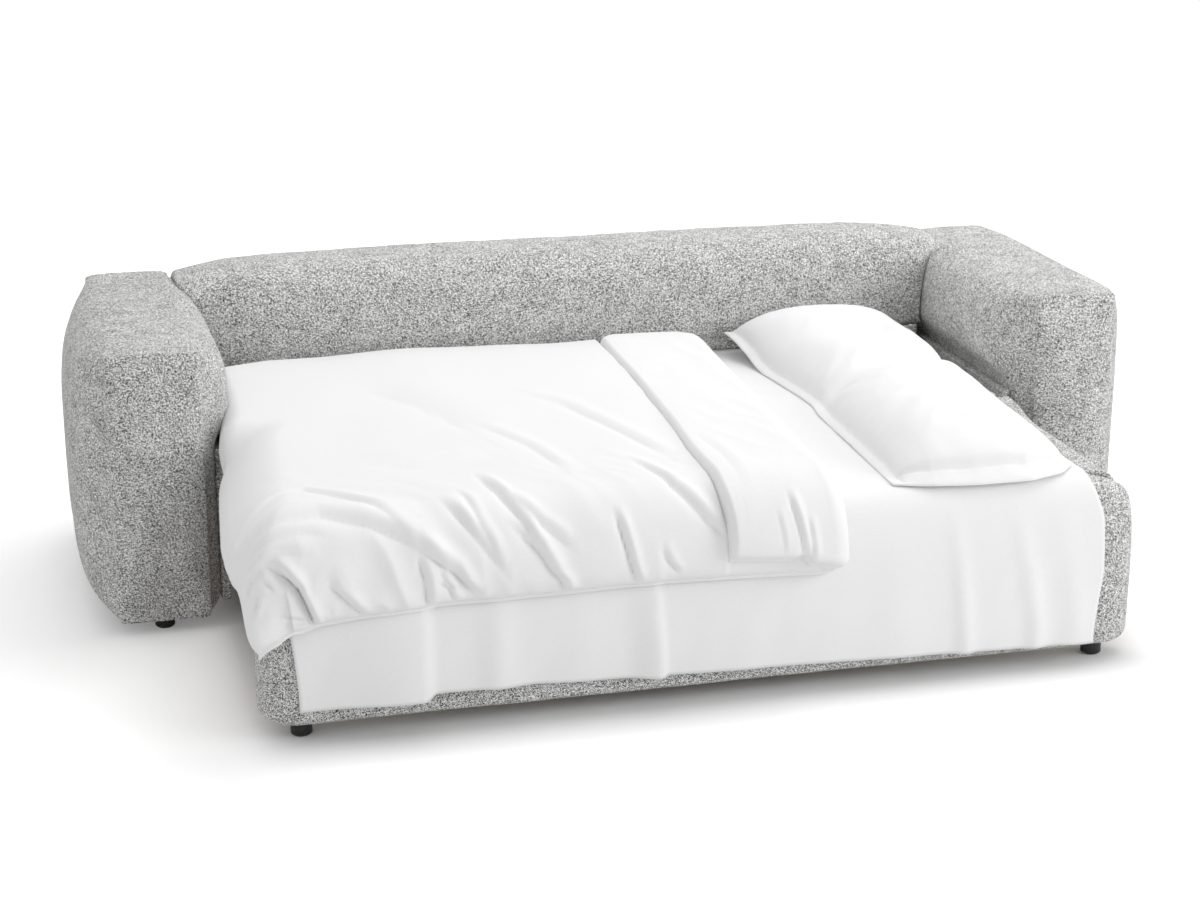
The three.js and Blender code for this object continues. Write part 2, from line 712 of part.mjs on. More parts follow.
// The fitted sheet, as a thin cloth over the pads that hangs down in front
function addSheet() {
  const even = steps(9).map((share) => sheetLeftX + (sheetRightX - sheetLeftX) * share);
  const folded = sheetFoldPlaces.flatMap((x) => [x - sheetFoldWidth, x, x + sheetFoldWidth]);
  const places = [...even, ...folded].sort((a, b) => a - b);
  const rings = places.map((x) => {
    const hem = sheetHem + sheetHemWave(x);
    const inner = beddingLine(0, 0, hem, rearPadEndY);
    const outer = beddingLine(sheetThickness, 0, hem, rearPadEndY).reverse();
    const wave = sheetWave(x) * sheetFoldDepth;
    return [...inner, ...outer].map(([y, z]) => {
      const hang = smooth(duvetHem - z, 0, duvetHem - hem);
      return new THREE.Vector3(x, y - wave * hang, z);
    });
  });
  addPart('sheet', loft(rings, flatEnds), cotton);
}

// The share of its thickness that the duvet's filling has at a place along the bed's depth
function duvetFullness(y) {
  return Math.min(1, Math.sqrt(Math.max(0, (duvetBackY - y) / duvetWaveLength)));
}

// The duvet's main folds: long waves that fan out from its right side to the front left corner
function duvetFold(x, y) {
  const fan = Math.atan2(y - duvetBackY, duvetRightX - x);
  const distance = Math.hypot(x - duvetRightX, y - duvetBackY) / duvetWaveLength;
  return duvetFoldHeight * Math.sin(distance + duvetFanCount * fan) * smooth(duvetBackY - y, 0, duvetWaveLength * 2);
}

// The height that the duvet's turned back right edge adds at a place along the bed
function turnback(x) {
  const edge = duvetRightX - turnbackWidth;
  return turnbackHeight * smooth(x, edge, edge + turnbackHeight / 2);
}

// The duvet, ring by ring from its left side to its right. Over the bed each ring runs back under itself
// along the sheet. Past the bed's left side the rings are closed at the hem, where the duvet hangs down,
// and beside the arm they stop in front of it.
function addDuvet() {
  const under = sheetThickness + runningGap;
  const topZ = bedTop + beddingRise + under;
  const faceY = bedFrontY - beddingRise - under - duvetClearance;
  const frontY = faceY - duvetFrontReach;
  const startY = frontY + duvetThickness;
  const leftX = -blockHalfWidth - duvetSideReach;
  const armSideX = -(armCentreX - armEndHalfWidth - armSideSwell - duvetArmGap);
  const bedSideX = -(blockHalfWidth + duvetClearance);
  const sidePlaces = [0, 0.12, 0.4, 0.75, 1].map((share) => leftX + (bedSideX - leftX) * share);
  const cornerEndX = armSideX - duvetEndRamp;
  const cornerPlaces = [0, 0.5, 1].map((share) => bedSideX + runningGap + (cornerEndX - bedSideX - runningGap) * share);
  const bedPlaces = steps(17).map((share) => armSideX + (duvetRightX - armSideX) * share);
  const rings = [...sidePlaces, ...cornerPlaces, ...bedPlaces].map((x) => {
    const bend = Math.sqrt(1 - Math.abs((2 * (x - leftX)) / (duvetRightX - leftX) - 1) ** 12 * 0.96);
    const backY = x < armSideX ? -armEndSwell - duvetClearance : duvetBackY;
    const hem = duvetHem - duvetTongue * (1 - smooth(x, bedSideX, bedSideX + 3 * blockCornerRadius));
    const thickness = (y) => duvetEdge + duvetThickness * duvetFullness(y) + duvetFold(x, y) + turnback(x);
    const crown = steps(14).map((share) => {
      const y = backY + (startY - backY) * share;
      return [y, topZ + thickness(y) * bend];
    });
    const cornerZ = topZ + thickness(startY) * bend;
    const outerY = frontY + duvetFrontReach * (1 - bend);
    const round = steps(6).slice(1).map((share) => {
      const angle = (Math.PI / 2) * share;
      const y = startY - (startY - outerY) * Math.sin(angle);
      return [y, hem + duvetEdge + (cornerZ - hem - duvetEdge) * Math.cos(angle) ** 1.2];
    });
    const foot = [(2 * outerY + faceY) / 3, hem];
    const inner = beddingLine(under, duvetClearance, hem, backY).reverse();
    const closed = steps(inner.length - 1).map((share) => {
      const rise = (duvetSideHem - hem) * smooth(share, 0, duvetTongueShare);
      return [faceY + (backY - faceY) * share, hem + rise - beddingCrown * Math.sin(Math.PI * share)];
    });
    return [...crown, ...round, foot, ...(x > bedSideX ? inner : closed)].map(([y, z]) => new THREE.Vector3(x, y, z));
  });
  addPart('duvet', loft(rings, flatEnds), cotton);
}

// A stuffed pillow: full in its two lobes, pinched between them and thin at its sewn edges
function addPillow() {
  const base = bedTop + beddingRise + beddingCrown + sheetThickness + seatGap;
  const centreX = blockHalfWidth - pillowSideInset;
  const rings = cosineSteps(16).map((along) => {
    const pinch = 1 - pillowNotchShare * Math.exp(-((along / pillowPinchShare) ** 2));
    const height = (pillowHeight / 2) * Math.sqrt(1 - along ** 6 * 0.985) * pinch;
    const half = (pillowWidth / 2) * (1 + pinch) * 0.5;
    const y = pillowMiddleY + (along * pillowLength) / 2;
    return squaredOval(20, pillowSquareness).map(([across, up]) => {
      return new THREE.Vector3(centreX + across * half, y, base + height * (1 + up));
    });
  });
  addPart('pillow', loft(rings, fanEnds), cotton);
}

addArms();
addFeet();
addBack();
addSideBoards();
addRampChannels();
addBedFront();
addBeams();
addFrontPad();
addRearSection();
addSheet();
addDuvet();
addPillow();

const bounds = new THREE.Box3().setFromObject(sofa);
sofa.position.y = -(bounds.min.y + bounds.max.y) / 2;

export default sofa;
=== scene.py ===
import math

import bmesh
import bpy
import numpy as np
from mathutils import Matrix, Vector, noise


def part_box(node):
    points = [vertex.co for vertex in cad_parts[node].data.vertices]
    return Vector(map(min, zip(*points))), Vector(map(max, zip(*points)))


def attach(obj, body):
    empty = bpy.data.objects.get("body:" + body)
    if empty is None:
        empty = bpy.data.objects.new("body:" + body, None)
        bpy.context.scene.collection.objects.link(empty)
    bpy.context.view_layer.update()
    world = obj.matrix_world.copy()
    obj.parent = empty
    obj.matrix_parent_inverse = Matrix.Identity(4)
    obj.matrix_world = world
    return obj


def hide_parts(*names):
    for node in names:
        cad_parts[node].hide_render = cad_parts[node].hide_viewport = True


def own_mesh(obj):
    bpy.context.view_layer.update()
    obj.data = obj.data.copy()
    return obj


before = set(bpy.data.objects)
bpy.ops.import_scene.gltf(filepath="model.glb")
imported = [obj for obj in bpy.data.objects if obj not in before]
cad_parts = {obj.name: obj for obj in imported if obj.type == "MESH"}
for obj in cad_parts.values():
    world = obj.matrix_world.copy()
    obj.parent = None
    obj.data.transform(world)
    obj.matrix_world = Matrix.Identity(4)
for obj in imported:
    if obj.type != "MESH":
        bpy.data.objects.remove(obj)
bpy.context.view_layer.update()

# Camera: it stands in front of the sofa, a little to its left and above it, and looks down on the made-up
# bed through a long lens. The arms' front seams are where the solids have them.
arm_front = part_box("arm_left_frame")[0].y - 0.095
bpy.context.scene.view_settings.view_transform = "Standard"
camera_lens = bpy.data.cameras.new("photo_camera")
camera_lens.sensor_width = 36
camera_lens.lens = 72.19
camera = bpy.data.objects.new("photo_camera", camera_lens)
bpy.context.collection.objects.link(camera)
camera.location = (-1.384, -5.0085 + arm_front, 1.9662)
camera.rotation_euler = (math.pi / 2 - 0.3033, 0, -0.2540)
bpy.context.scene.camera = camera

# Tweed: the sofa's cover is a thick looped cloth in light, middle and dark grey yarns, which lie as short
# flecks with a loose weave under them. The yarns are one node group, shared by every cloth here.
light_yarn = (0.95, 0.95, 0.935, 1)
pale_yarn = (0.62, 0.62, 0.61, 1)
middle_yarn = (0.40, 0.40, 0.39, 1)
dark_yarn = (0.03, 0.03, 0.029, 1)


def node(tree, kind, values=None, **settings):
    """A shader node with its settings, and with the values of its inputs."""
    made = tree.nodes.new("ShaderNode" + kind)
    for name, value in settings.items():
        setattr(made, name, value)
    for name, value in (values or {}).items():
        made.inputs[name].default_value = value
    return made


def join(tree, *wires):
    """Draws wires, each given as a node, its output, the next node and that one's input."""
    for source, output, target, entry in wires:
        tree.links.new(source.outputs[output], target.inputs[entry])


def node_group(name, inputs, outputs):
    """A group with its sockets, and the two nodes that stand for its ends."""
    group = bpy.data.node_groups.new(name, "ShaderNodeTree")
    for label, kind in inputs:
        group.interface.new_socket(name=label, in_out="INPUT", socket_type="NodeSocket" + kind)
    for label in outputs:
        group.interface.new_socket(name=label, in_out="OUTPUT", socket_type="NodeSocketFloat")
    return group, group.nodes.new("NodeGroupInput"), group.nodes.new("NodeGroupOutput")


def finish_wires(ramp, relief, shader):
    return (ramp, "Color", shader, "Base Color"), (relief, "Normal", shader, "Normal")


def colour_ramp(tree, wanted):
    """A ramp with a stop at each wanted position."""
    ramp = node(tree, "ValToRGB")
    stops = ramp.color_ramp.elements
    while len(stops) < len(wanted):
        stops.new(0.5)
    for stop, (position, colour) in zip(stops, wanted):
        stop.position = position
        stop.color = colour
    return ramp


def new_material(name, values):
    """A material, its nodes, its shader with some values, and the places on the piece."""
    material = bpy.data.materials.new(name)
    material.use_nodes = True
    tree = material.node_tree
    shader = tree.nodes["Principled BSDF"]
    for label, value in values.items():
        shader.inputs[label].default_value = value
    return material, tree, shader, node(tree, "TexCoord")


yarns, group_in, group_out = node_group(
    "cloth yarns",
    [("Position", "Vector"), ("Yarns per metre", "Float"), ("Unevenness", "Float")],
    ["Tone", "Height"],
)
loops = node(yarns, "TexVoronoi", feature="F1")
fibres = node(yarns, "TexNoise", {"Detail": 3})
fibre_scale = node(yarns, "Math", {1: 0.62}, operation="MULTIPLY")
patches = node(yarns, "TexNoise", {"Scale": 21, "Detail": 2})
tone_split = node(yarns, "SeparateColor")
tone_mix = node(yarns, "Mix", {"Factor": 0.18}, data_type="FLOAT")
loop_height = node(yarns, "Math", operation="SUBTRACT")
join(
    yarns,
    *[(group_in, "Position", texture, "Vector") for texture in (loops, fibres, patches)],
    (group_in, "Yarns per metre", loops, "Scale"), (group_in, "Yarns per metre", fibre_scale, 0),
    (fibre_scale, 0, fibres, "Scale"), (loops, "Color", tone_split, 0),
    (tone_split, 0, tone_mix, "A"), (fibres, "Fac", tone_mix, "B"),
    (fibres, "Fac", loop_height, 0), (loops, "Distance", loop_height, 1),
    (loop_height, 0, group_out, "Height"),
)
# patches of a paler or darker tone, and streaks along two directions, each with its strength
tone = tone_mix, "Result"
for streaks, strength in ((None, 1.0), ((35, 35, 430), 0.55), ((430, 430, 40), 0.55)):
    texture = patches
    if streaks:
        squeeze = node(yarns, "VectorMath", {1: streaks}, operation="MULTIPLY")
        texture = node(yarns, "TexNoise", {"Scale": 1, "Detail": 1})
        join(yarns, (group_in, "Position", squeeze, 0), (squeeze, 0, texture, "Vector"))
    centred = node(yarns, "Math", {1: 0.5}, operation="SUBTRACT")
    weighed = node(yarns, "Math", {1: strength}, operation="MULTIPLY")
    added = node(yarns, "Math", operation="MULTIPLY_ADD")
    join(
        yarns, (texture, "Fac", centred, 0), (centred, 0, weighed, 0), (weighed, 0, added, 0),
        (group_in, "Unevenness", added, 1), (*tone, added, 2),
    )
    tone = added, 0
join(yarns, (*tone, group_out, "Tone"))


def cloth_material(name, yarns_per_metre, unevenness, colours, bump, depth, roughness, sheen, crumple=0.0):
    """A woven finish: its colours run over the yarns' tones, and its bump over their height."""
    looks = {"Roughness": roughness, "Sheen Weight": sheen, "Specular IOR Level": 0.25}
    material, tree, shader, place = new_material(name, looks)
    counts = {"Yarns per metre": yarns_per_metre, "Unevenness": unevenness}
    weave = node(tree, "Group", counts, node_tree=yarns)
    ramp = colour_ramp(tree, colours)
    relief = node(tree, "Bump", {"Strength": bump, "Distance": depth})
    join(
        tree, (place, "Object", weave, "Position"), (weave, "Tone", ramp, "Fac"),
        (weave, "Height", relief, "Height"), *finish_wires(ramp, relief, shader),
    )
    if crumple:
        ridges = {"Scale": 7, "Detail": 3, "Distortion": 0.8}
        wrinkles = node(tree, "TexNoise", ridges, noise_type="RIDGED_MULTIFRACTAL")
        creased = node(tree, "Bump", {"Strength": crumple, "Distance": 0.0022})
        join(
            tree, (place, "Object", wrinkles, "Vector"), (wrinkles, "Fac", creased, "Height"),
            (creased, "Normal", relief, "Normal"),
        )
    return material


tweed = cloth_material(
    "grey tweed", 620, 0.26,
    [(0.24, dark_yarn), (0.40, middle_yarn), (0.56, pale_yarn), (0.74, light_yarn)],
    0.55, 0.0015, 0.95, 0.1,
)

# Arms: each is foam round a panel frame, in a cover of one wrap and two sewn end panels. The wrap swells
# between its seams, and its inner side stays flat where it meets the fixed side board under the mattress.
arm_centre_x = 1.066
arm_end_half_width = 0.098
arm_side_swell = 0.082
arm_depth = 0.770
arm_end_swell = 0.028
upholstery_bottom = 0.0325
arm_end_top = 0.635
arm_crown = 0.003
arm_inner_reach = 0.1272
bed_top = 0.402
arm_clear_height = bed_top + 0.008
arm_flat_x = 0.9387


def cut_block(cuts_x, cuts_y, cuts_z):
    """A cube of side 2 about the origin, with its faces cut into an even grid."""
    bm = bmesh.new()
    bmesh.ops.create_cube(bm, size=2)
    for axis, cuts in enumerate((cuts_x, cuts_y, cuts_z)):
        along = [e for e in bm.edges if abs((e.verts[1].co - e.verts[0].co)[axis]) > 1e-6]
        bmesh.ops.subdivide_edges(bm, edges=along, cuts=cuts)
    return bm


def squared(p, q, squareness):
    """What brings the direction (p, q) onto a squared oval that reaches 1 along both axes."""
    size = (abs(p) ** squareness + abs(q) ** squareness) ** (1 / squareness)
    return 1 / size if size > 1e-9 else 0.0


def smooth(value, low, high):
    share = min(1.0, max(0.0, (value - low) / (high - low)))
    return share * share * (3 - 2 * share)


def arm_fullness(share):
    """How far the wrap has swelled along the arm, from -1 at its front seam to 1 at its back one."""
    place = share + 0.215 * (1 - share * share)
    return max(0.0, 1 - abs(place) ** 4.4) ** 1.8


def arm_squareness(full):
    return 1 / ((1 - full) / 60 + full / 4.4)


def arm_inner_limit(z):
    room = arm_end_half_width + arm_side_swell - arm_inner_reach
    return arm_inner_reach + room * smooth(z, bed_top, bed_top + arm_side_swell)


def unevenness(place, seed):
    """The slow hollows and rises of hand-stuffed upholstery, in metres."""
    offset = Vector((seed, -seed, seed / 2))
    return 0.0030 * noise.noise(place * 4.2 + offset) + 0.0013 * noise.noise(place * 13 + offset)


def crease_layer(bm):
    return bm.edges.layers.float.get("crease_edge") or bm.edges.layers.float.new("crease_edge")


def add_piece(bm, name, material, body, replaced=(), levels=0):
    """Makes a mesh a smooth, finished piece that rides on a body."""
    bmesh.ops.recalc_face_normals(bm, faces=bm.faces)
    mesh = bpy.data.meshes.new(name)
    bm.to_mesh(mesh)
    bm.free()
    piece = bpy.data.objects.new(name, mesh)
    bpy.context.collection.objects.link(piece)
    mesh.materials.append(material)
    mesh.polygons.foreach_set("use_smooth", [True] * len(mesh.polygons))
    if levels:
        rounding = piece.modifiers.new("rounding", "SUBSURF")
        rounding.levels = levels
        rounding.render_levels = levels
    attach(piece, body)
    if replaced:
        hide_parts(*replaced)
    return piece


def shape_arm(bm, side):
    middle_z = (upholstery_bottom + arm_end_top) / 2
    half_height = (arm_end_top - upholstery_bottom) / 2
    seam = set()
    for vert in bm.verts:
        u, v, w = vert.co
        at_end = abs(v) > 0.9999
        reach = max(abs(u), abs(w)) if at_end else 1.0
        share = math.sin(v * math.pi / 2)
        full = arm_fullness(share)
        scale = squared(u, w, arm_squareness(full)) * reach
        across, up = u * scale, w * scale
        z = middle_z + up * (half_height + (arm_crown * full if up > 0 else 0))
        wide = (arm_end_half_width + arm_side_swell * full) * abs(across)
        if across < 0:
            wide = min(wide, arm_inner_limit(z))
        y = arm_depth / 2 * (1 + share)
        y += math.copysign(arm_end_swell * (1 - reach ** 2.4), v) if at_end else 0
        # the back end of the top stands a little higher
        z += max(0.0, w) * (0.001 + 0.004 * smooth(share, -0.2, 1) * (1 - abs(u) ** 3))
        vert.co = (side * (arm_centre_x + math.copysign(wide, across)), y + arm_front, z)
        if at_end and reach > 0.9999:
            seam.add(vert)
    return seam


def pull_along_seam(bm, seam, depth, reach, spacing):
    """Draws a sewn line in, with the small pulls that the stitches leave beside it."""
    bm.normal_update()
    seam_places = [v.co.copy() for v in seam]
    moves = []
    for vert in bm.verts:
        near = min((vert.co - place).length for place in seam_places) if vert not in seam else 0.0
        if near > reach:
            continue
        closeness = (1 - near / reach) ** 2
        pull = noise.noise(vert.co / spacing) * 0.5 + 0.5
        moves.append((vert, -vert.normal * closeness * depth * (0.35 if vert in seam else 0.5 + pull)))
    for vert, move in moves:
        vert.co += move


for arm_name, side in (("left", -1), ("right", 1)):
    bm = cut_block(17, 34, 26)
    corner = bm.verts.layers.float.new("crease_vert")
    seam = shape_arm(bm, side)
    bm.normal_update()
    for vert in bm.verts:
        beside_board = vert.co.z < arm_clear_height + 0.05 and abs(vert.co.x) < arm_centre_x - 0.09
        if not beside_board and vert.co.z > 0.06:
            to_end = min(vert.co.y - arm_front, arm_depth - vert.co.y + arm_front)
            vert.co += vert.normal * unevenness(vert.co, 3.1 * side) * smooth(abs(to_end), -0.01, 0.09)
    pull_along_seam(bm, seam, 0.0022, 0.016, 0.018)
    for vert in bm.verts:
        if vert.co.z < arm_clear_height and abs(vert.co.x) < arm_flat_x:
            vert.co.x = side * arm_flat_x
    crease = crease_layer(bm)
    for edge in bm.edges:
        if edge.verts[0] in seam and edge.verts[1] in seam:
            edge[crease] = 1.0
    for vert in seam:
        beside = [other for other in (edge.other_vert(vert) for edge in vert.link_edges) if other in seam]
        if len(beside) == 2:
            first, second = (other.co - vert.co for other in beside)
            vert[corner] = 0.9 if first.angle(second) < 2.2 else 0.0
    add_piece(bm, f"arm_{arm_name}", tweed, "sofa_frame", [f"arm_{arm_name}_cover"], levels=1)

# Wood: the boards inside are birch plywood, with its grain along the boards and pale and dark plies at the
# edges. The slats are planed softwood. Both use one grain group.
grain, group_in, group_out = node_group(
    "wood grain",
    [("Position", "Vector"), ("Rings per metre", "Float"), ("Stretch", "Vector")],
    ["Grain", "Pores"],
)
stretch = node(grain, "VectorMath", operation="MULTIPLY")
rings = node(grain, "TexNoise", {"Detail": 4, "Distortion": 1.2})
pores = node(grain, "TexNoise", {"Detail": 2})
pore_scale = node(grain, "Math", {1: 9}, operation="MULTIPLY")
join(
    grain, (group_in, "Position", stretch, 0), (group_in, "Stretch", stretch, 1),
    (stretch, 0, rings, "Vector"), (stretch, 0, pores, "Vector"),
    (group_in, "Rings per metre", rings, "Scale"), (group_in, "Rings per metre", pore_scale, 0),
    (pore_scale, 0, pores, "Scale"), (rings, "Fac", group_out, "Grain"), (pores, "Fac", group_out, "Pores"),
)


def wood_material(name, rings_per_metre, along, pale, deep):
    """Raw wood: its colours run over the rings, and its bump over the pores."""
    material, tree, shader, place = new_material(name, {"Roughness": 0.62})
    figure = node(tree, "Group", {"Rings per metre": rings_per_metre, "Stretch": along}, node_tree=grain)
    ramp = colour_ramp(tree, [(0.36, deep), (0.62, pale)])
    relief = node(tree, "Bump", {"Strength": 0.25, "Distance": 0.0006})
    join(
        tree, (place, "Object", figure, "Position"), (figure, "Grain", ramp, "Fac"),
        (figure, "Pores", relief, "Height"), *finish_wires(ramp, relief, shader),
    )
    return material


def finish_nodes(material, *names):
    """Gives the rigid solids that stay in view their finish."""
    for name in names:
        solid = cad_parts[name]
        solid.data.materials.clear()
        solid.data.materials.append(material)


plywood = wood_material("birch plywood", 46, (0.07, 1.0, 1.0), (0.62, 0.43, 0.24, 1), (0.47, 0.30, 0.15, 1))
softwood = wood_material("planed slats", 70, (0.05, 1.0, 1.0), (0.70, 0.50, 0.28, 1), (0.55, 0.35, 0.17, 1))
finish_nodes(
    plywood, "arm_left_frame", "arm_right_frame", "back_panel", "back_shelf", "bed_front_board",
    "bed_ramp_board", "rear_side_left", "rear_side_right", "rear_cross_front", "rear_cross_back",
)
finish_nodes(softwood, *[f"bed_slat_{i}" for i in range(1, 6)], *[f"rear_slat_{i}" for i in range(1, 5)])

# Feet, rollers and runners: turned black plastic feet with fine scuffs, nylon rollers, and folded steel
# beams and channels with a grey coat that is a little rubbed.


def hard_material(name, colour, worn, roughness, metallic, scale):
    """A smooth finish with faint marks, which are paler, duller and a little raised."""
    material, tree, shader, place = new_material(name, {"Metallic": metallic})
    marks = node(tree, "TexNoise", {"Scale": scale, "Detail": 5})
    ramp = colour_ramp(tree, [(0.42, colour), (0.75, worn)])
    matt = node(tree, "MapRange", {"To Min": roughness - 0.08, "To Max": roughness + 0.14})
    relief = node(tree, "Bump", {"Strength": 0.12, "Distance": 0.0004})
    join(
        tree, (place, "Object", marks, "Vector"), (marks, "Fac", ramp, "Fac"),
        (marks, "Fac", matt, "Value"), (matt, "Result", shader, "Roughness"),
        (marks, "Fac", relief, "Height"), *finish_wires(ramp, relief, shader),
    )
    return material


foot_colours = (0.009, 0.009, 0.010, 1), (0.022, 0.022, 0.024, 1)
foot_black = hard_material("black foot plastic", *foot_colours, 0.30, 0, 90)
roller_nylon = hard_material("black nylon", (0.018, 0.019, 0.020, 1), (0.040, 0.042, 0.044, 1), 0.48, 0, 60)
coated_steel = hard_material("grey coated steel", (0.24, 0.25, 0.27, 1), (0.34, 0.35, 0.36, 1), 0.36, 0.8, 40)
finish_nodes(foot_black, *[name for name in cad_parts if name.startswith("foot_")])
finish_nodes(roller_nylon, *[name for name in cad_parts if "_roller_" in name])
finish_nodes(coated_steel, "bed_beam_left", "bed_beam_right")
finish_nodes(coated_steel, *[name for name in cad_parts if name.startswith("ramp_channel_")])

# Back bolster: a long stuffed roll on the shelf, sewn from one wrap with a seam along its top rear edge and
# small end panels. Its ends press against the arms, and the seam puckers it.
bolster_half = 0.958
bolster_front = 0.528
bolster_depth = 0.300
bolster_bottom = 0.4293
bolster_top = 0.681


def arm_side_at(y, z, gap):
    """How far out an arm's inner side is, at a depth behind its front seam and a height."""
    share = (y - arm_depth / 2) / (arm_depth / 2)
    full = arm_fullness(max(-1, min(1, share)))
    past = max(0.0, abs(y - arm_depth / 2) - arm_depth / 2)
    if past >= arm_end_swell:
        return 9.0
    cap = math.sqrt(1 - past / arm_end_swell)
    middle_z = (upholstery_bottom + arm_end_top) / 2
    half_height = (arm_end_top - upholstery_bottom) / 2
    up = (z - middle_z) / ((half_height + (arm_crown * full if z > middle_z else 0)) * cap)
    if abs(up) >= 1:
        return 9.0
    across = (1 - abs(up) ** arm_squareness(full)) ** (1 / arm_squareness(full))
    wide = min((arm_end_half_width + arm_side_swell * full) * across * cap, arm_inner_limit(z))
    return arm_centre_x - wide - gap


def ripple(x, y, z):
    """Smooth noise at a place."""
    return noise.noise(Vector((x, y, z)))


bm = cut_block(110, 17, 17)
bolster_seam = []
for vert in bm.verts:
    u, v, w = vert.co
    at_end = abs(u) > 0.9999
    reach = max(abs(v), abs(w)) if at_end else 1.0
    share = math.sin(u * math.pi / 2) * 0.35 + u * 0.65
    drop = 0.24 * abs(share) ** 8
    scale = squared(v, w, 3 if w > 0 else 7) * reach
    across, up = v * scale, w * scale
    y = bolster_front + bolster_depth / 2 * (1 + across * (1 - drop))
    half_height = (bolster_top - bolster_bottom) / 2
    z = (bolster_bottom + bolster_top) / 2 + up * half_height * (1 - (drop if up > 0 else 0))
    x = share * bolster_half + (math.copysign(0.021 * (1 - reach * reach), u) if at_end else 0)
    vert.co = (x, y + arm_front, z)
    if not at_end and abs(v - 1) < 0.08 and w > 0.94:
        bolster_seam.append(vert)
bm.normal_update()
for vert in bm.verts:
    if vert.co.z > bolster_bottom + 0.01:
        softness = 1.0 if vert.co.y > arm_front + bolster_front + 0.02 else 0.55
        vert.co += vert.normal * unevenness(vert.co * 1.2, 7.7) * softness
for vert in bm.verts:
    y, z = vert.co.y - arm_front, vert.co.z
    ridge = math.exp(-((y - bolster_front - 0.245) ** 2) / 0.0012) * smooth(z, 0.6, 0.69)
    front_ridge = math.exp(-((y - bolster_front - 0.03) ** 2) / 0.0016) * smooth(z, 0.55, 0.66)
    pucker = ripple(vert.co.x * 21, 4.1, 0) * 0.0042 + ripple(vert.co.x * 47, 9.4, 0) * 0.0022
    vert.co.z += ridge * (pucker - 0.001)
    vert.co += vert.normal * front_ridge * ripple(vert.co.x * 9, y * 3, 2.2) * 0.003
    limit = arm_side_at(y, z, 0.0012)
    if abs(vert.co.x) > limit:
        vert.co.x = math.copysign(limit, vert.co.x)
add_piece(bm, "bolster", tweed, "sofa_frame", ["back_bolster"], levels=1)

# Back covers: two flat lengths of the same tweed over the plywood panel, one above the other, stapled under
# their edges. The shelf's front edge and the fixed side boards are wrapped in the tweed in the same way.
cover_half = 0.9388


def wrapped_board(low, high, radius, segments):
    """A board in cloth, with soft edges."""
    bm = bmesh.new()
    bmesh.ops.create_cube(bm, size=1)
    bmesh.ops.scale(bm, vec=high - low, verts=bm.verts)
    bmesh.ops.translate(bm, vec=(high + low) / 2, verts=bm.verts)
    bmesh.ops.bevel(
        bm, geom=bm.edges[:], offset=radius, segments=segments, profile=0.5, affect="EDGES", material=-1
    )
    return bm


shelf_low, shelf_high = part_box("back_shelf")
strip_low = Vector((shelf_low.x, shelf_low.y - 0.0042, shelf_low.z - 0.004))
bm = wrapped_board(strip_low, Vector((shelf_high.x, shelf_low.y - 0.0004, bolster_bottom + 0.012)), 0.0015, 2)
add_piece(bm, "shelf_edge_wrap", tweed, "sofa_frame")
cover_low, cover_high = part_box("back_lower_cover")
panel_low, panel_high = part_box("back_panel")
lower_low = Vector((-cover_half, panel_low.y - 0.001, cover_low.z))
bm = wrapped_board(lower_low, Vector((cover_half, cover_high.y, cover_high.z)), 0.007, 4)
add_piece(bm, "back_cover", tweed, "sofa_frame", ["back_lower_cover"])
upper_low = Vector((-cover_half, panel_low.y - 0.001, cover_high.z - 0.012))
bm = wrapped_board(upper_low, Vector((cover_half, panel_high.y + 0.002, panel_high.z + 0.0015)), 0.0035, 3)
add_piece(bm, "back_upper_cover", tweed, "sofa_frame")
for board_name in ("left", "right"):
    board_low, board_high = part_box(f"side_board_{board_name}")
    bm = wrapped_board(board_low, board_high, 0.004, 3)
    add_piece(bm, f"side_wrap_{board_name}", tweed, "sofa_frame", [f"side_board_{board_name}"])

# Front of the bed: a padded block in tweed that is the sofa's front when the bed is closed. It bulges to the
# front, its top edge is a wide soft round and its ends turn in to the sides.
block_front = -0.662
block_half = 0.936
block_depth = 0.087
block_corner = 0.078
belt_height = 0.217
block_flat_share = 0.84
block_fall_x = 0.80

bm = cut_block(100, 8, 26)
for vert in bm.verts:
    u, v, w = vert.co
    at_end = abs(u) > 0.9999
    past = max(0.0, (abs(u) - block_flat_share) / (1 - block_flat_share))
    past = math.sin(past * math.pi / 2)
    x = min(abs(u), block_flat_share) / block_flat_share * (block_half - block_corner) + block_corner * past
    depth_share = math.sqrt(max(0.0, 1 - past * past))
    end_share = 0.48 if w > 0 else 0.86
    height_share = end_share + (1 - end_share) * depth_share
    if v < 0:
        scale = squared(v, w, 2.6 if w > 0 else 12)
        depth, rise = -v * scale, w * scale
    else:
        depth, rise = 0.0, w
    up = (bed_top - belt_height) if rise > 0 else (belt_height - upholstery_bottom)
    if rise > 0:
        fall = max(0.0, (x - block_fall_x) / (block_half - block_fall_x)) ** 1.8
        height_share = min(height_share, 1 - 0.25 * fall)
    z = belt_height + rise * up * height_share
    y = block_front + block_depth - depth * block_depth * depth_share
    vert.co = (math.copysign(x, u), y + arm_front, max(z, upholstery_bottom))
bmesh.ops.remove_doubles(bm, verts=bm.verts, dist=1e-5)
bm.normal_update()
for vert in bm.verts:
    if vert.co.y < arm_front + block_front + block_depth - 0.004:
        vert.co += vert.normal * unevenness(vert.co, 12.3) * 0.8
add_piece(bm, "bed_front", tweed, "bed_unit", ["bed_front_cover"], levels=1)

# Pads: two foam cushions that make the mattress, in the same tweed. Each has a low crown and sides that draw
# in, and the two meet in a slanting joint, so that one can slide down under the other.


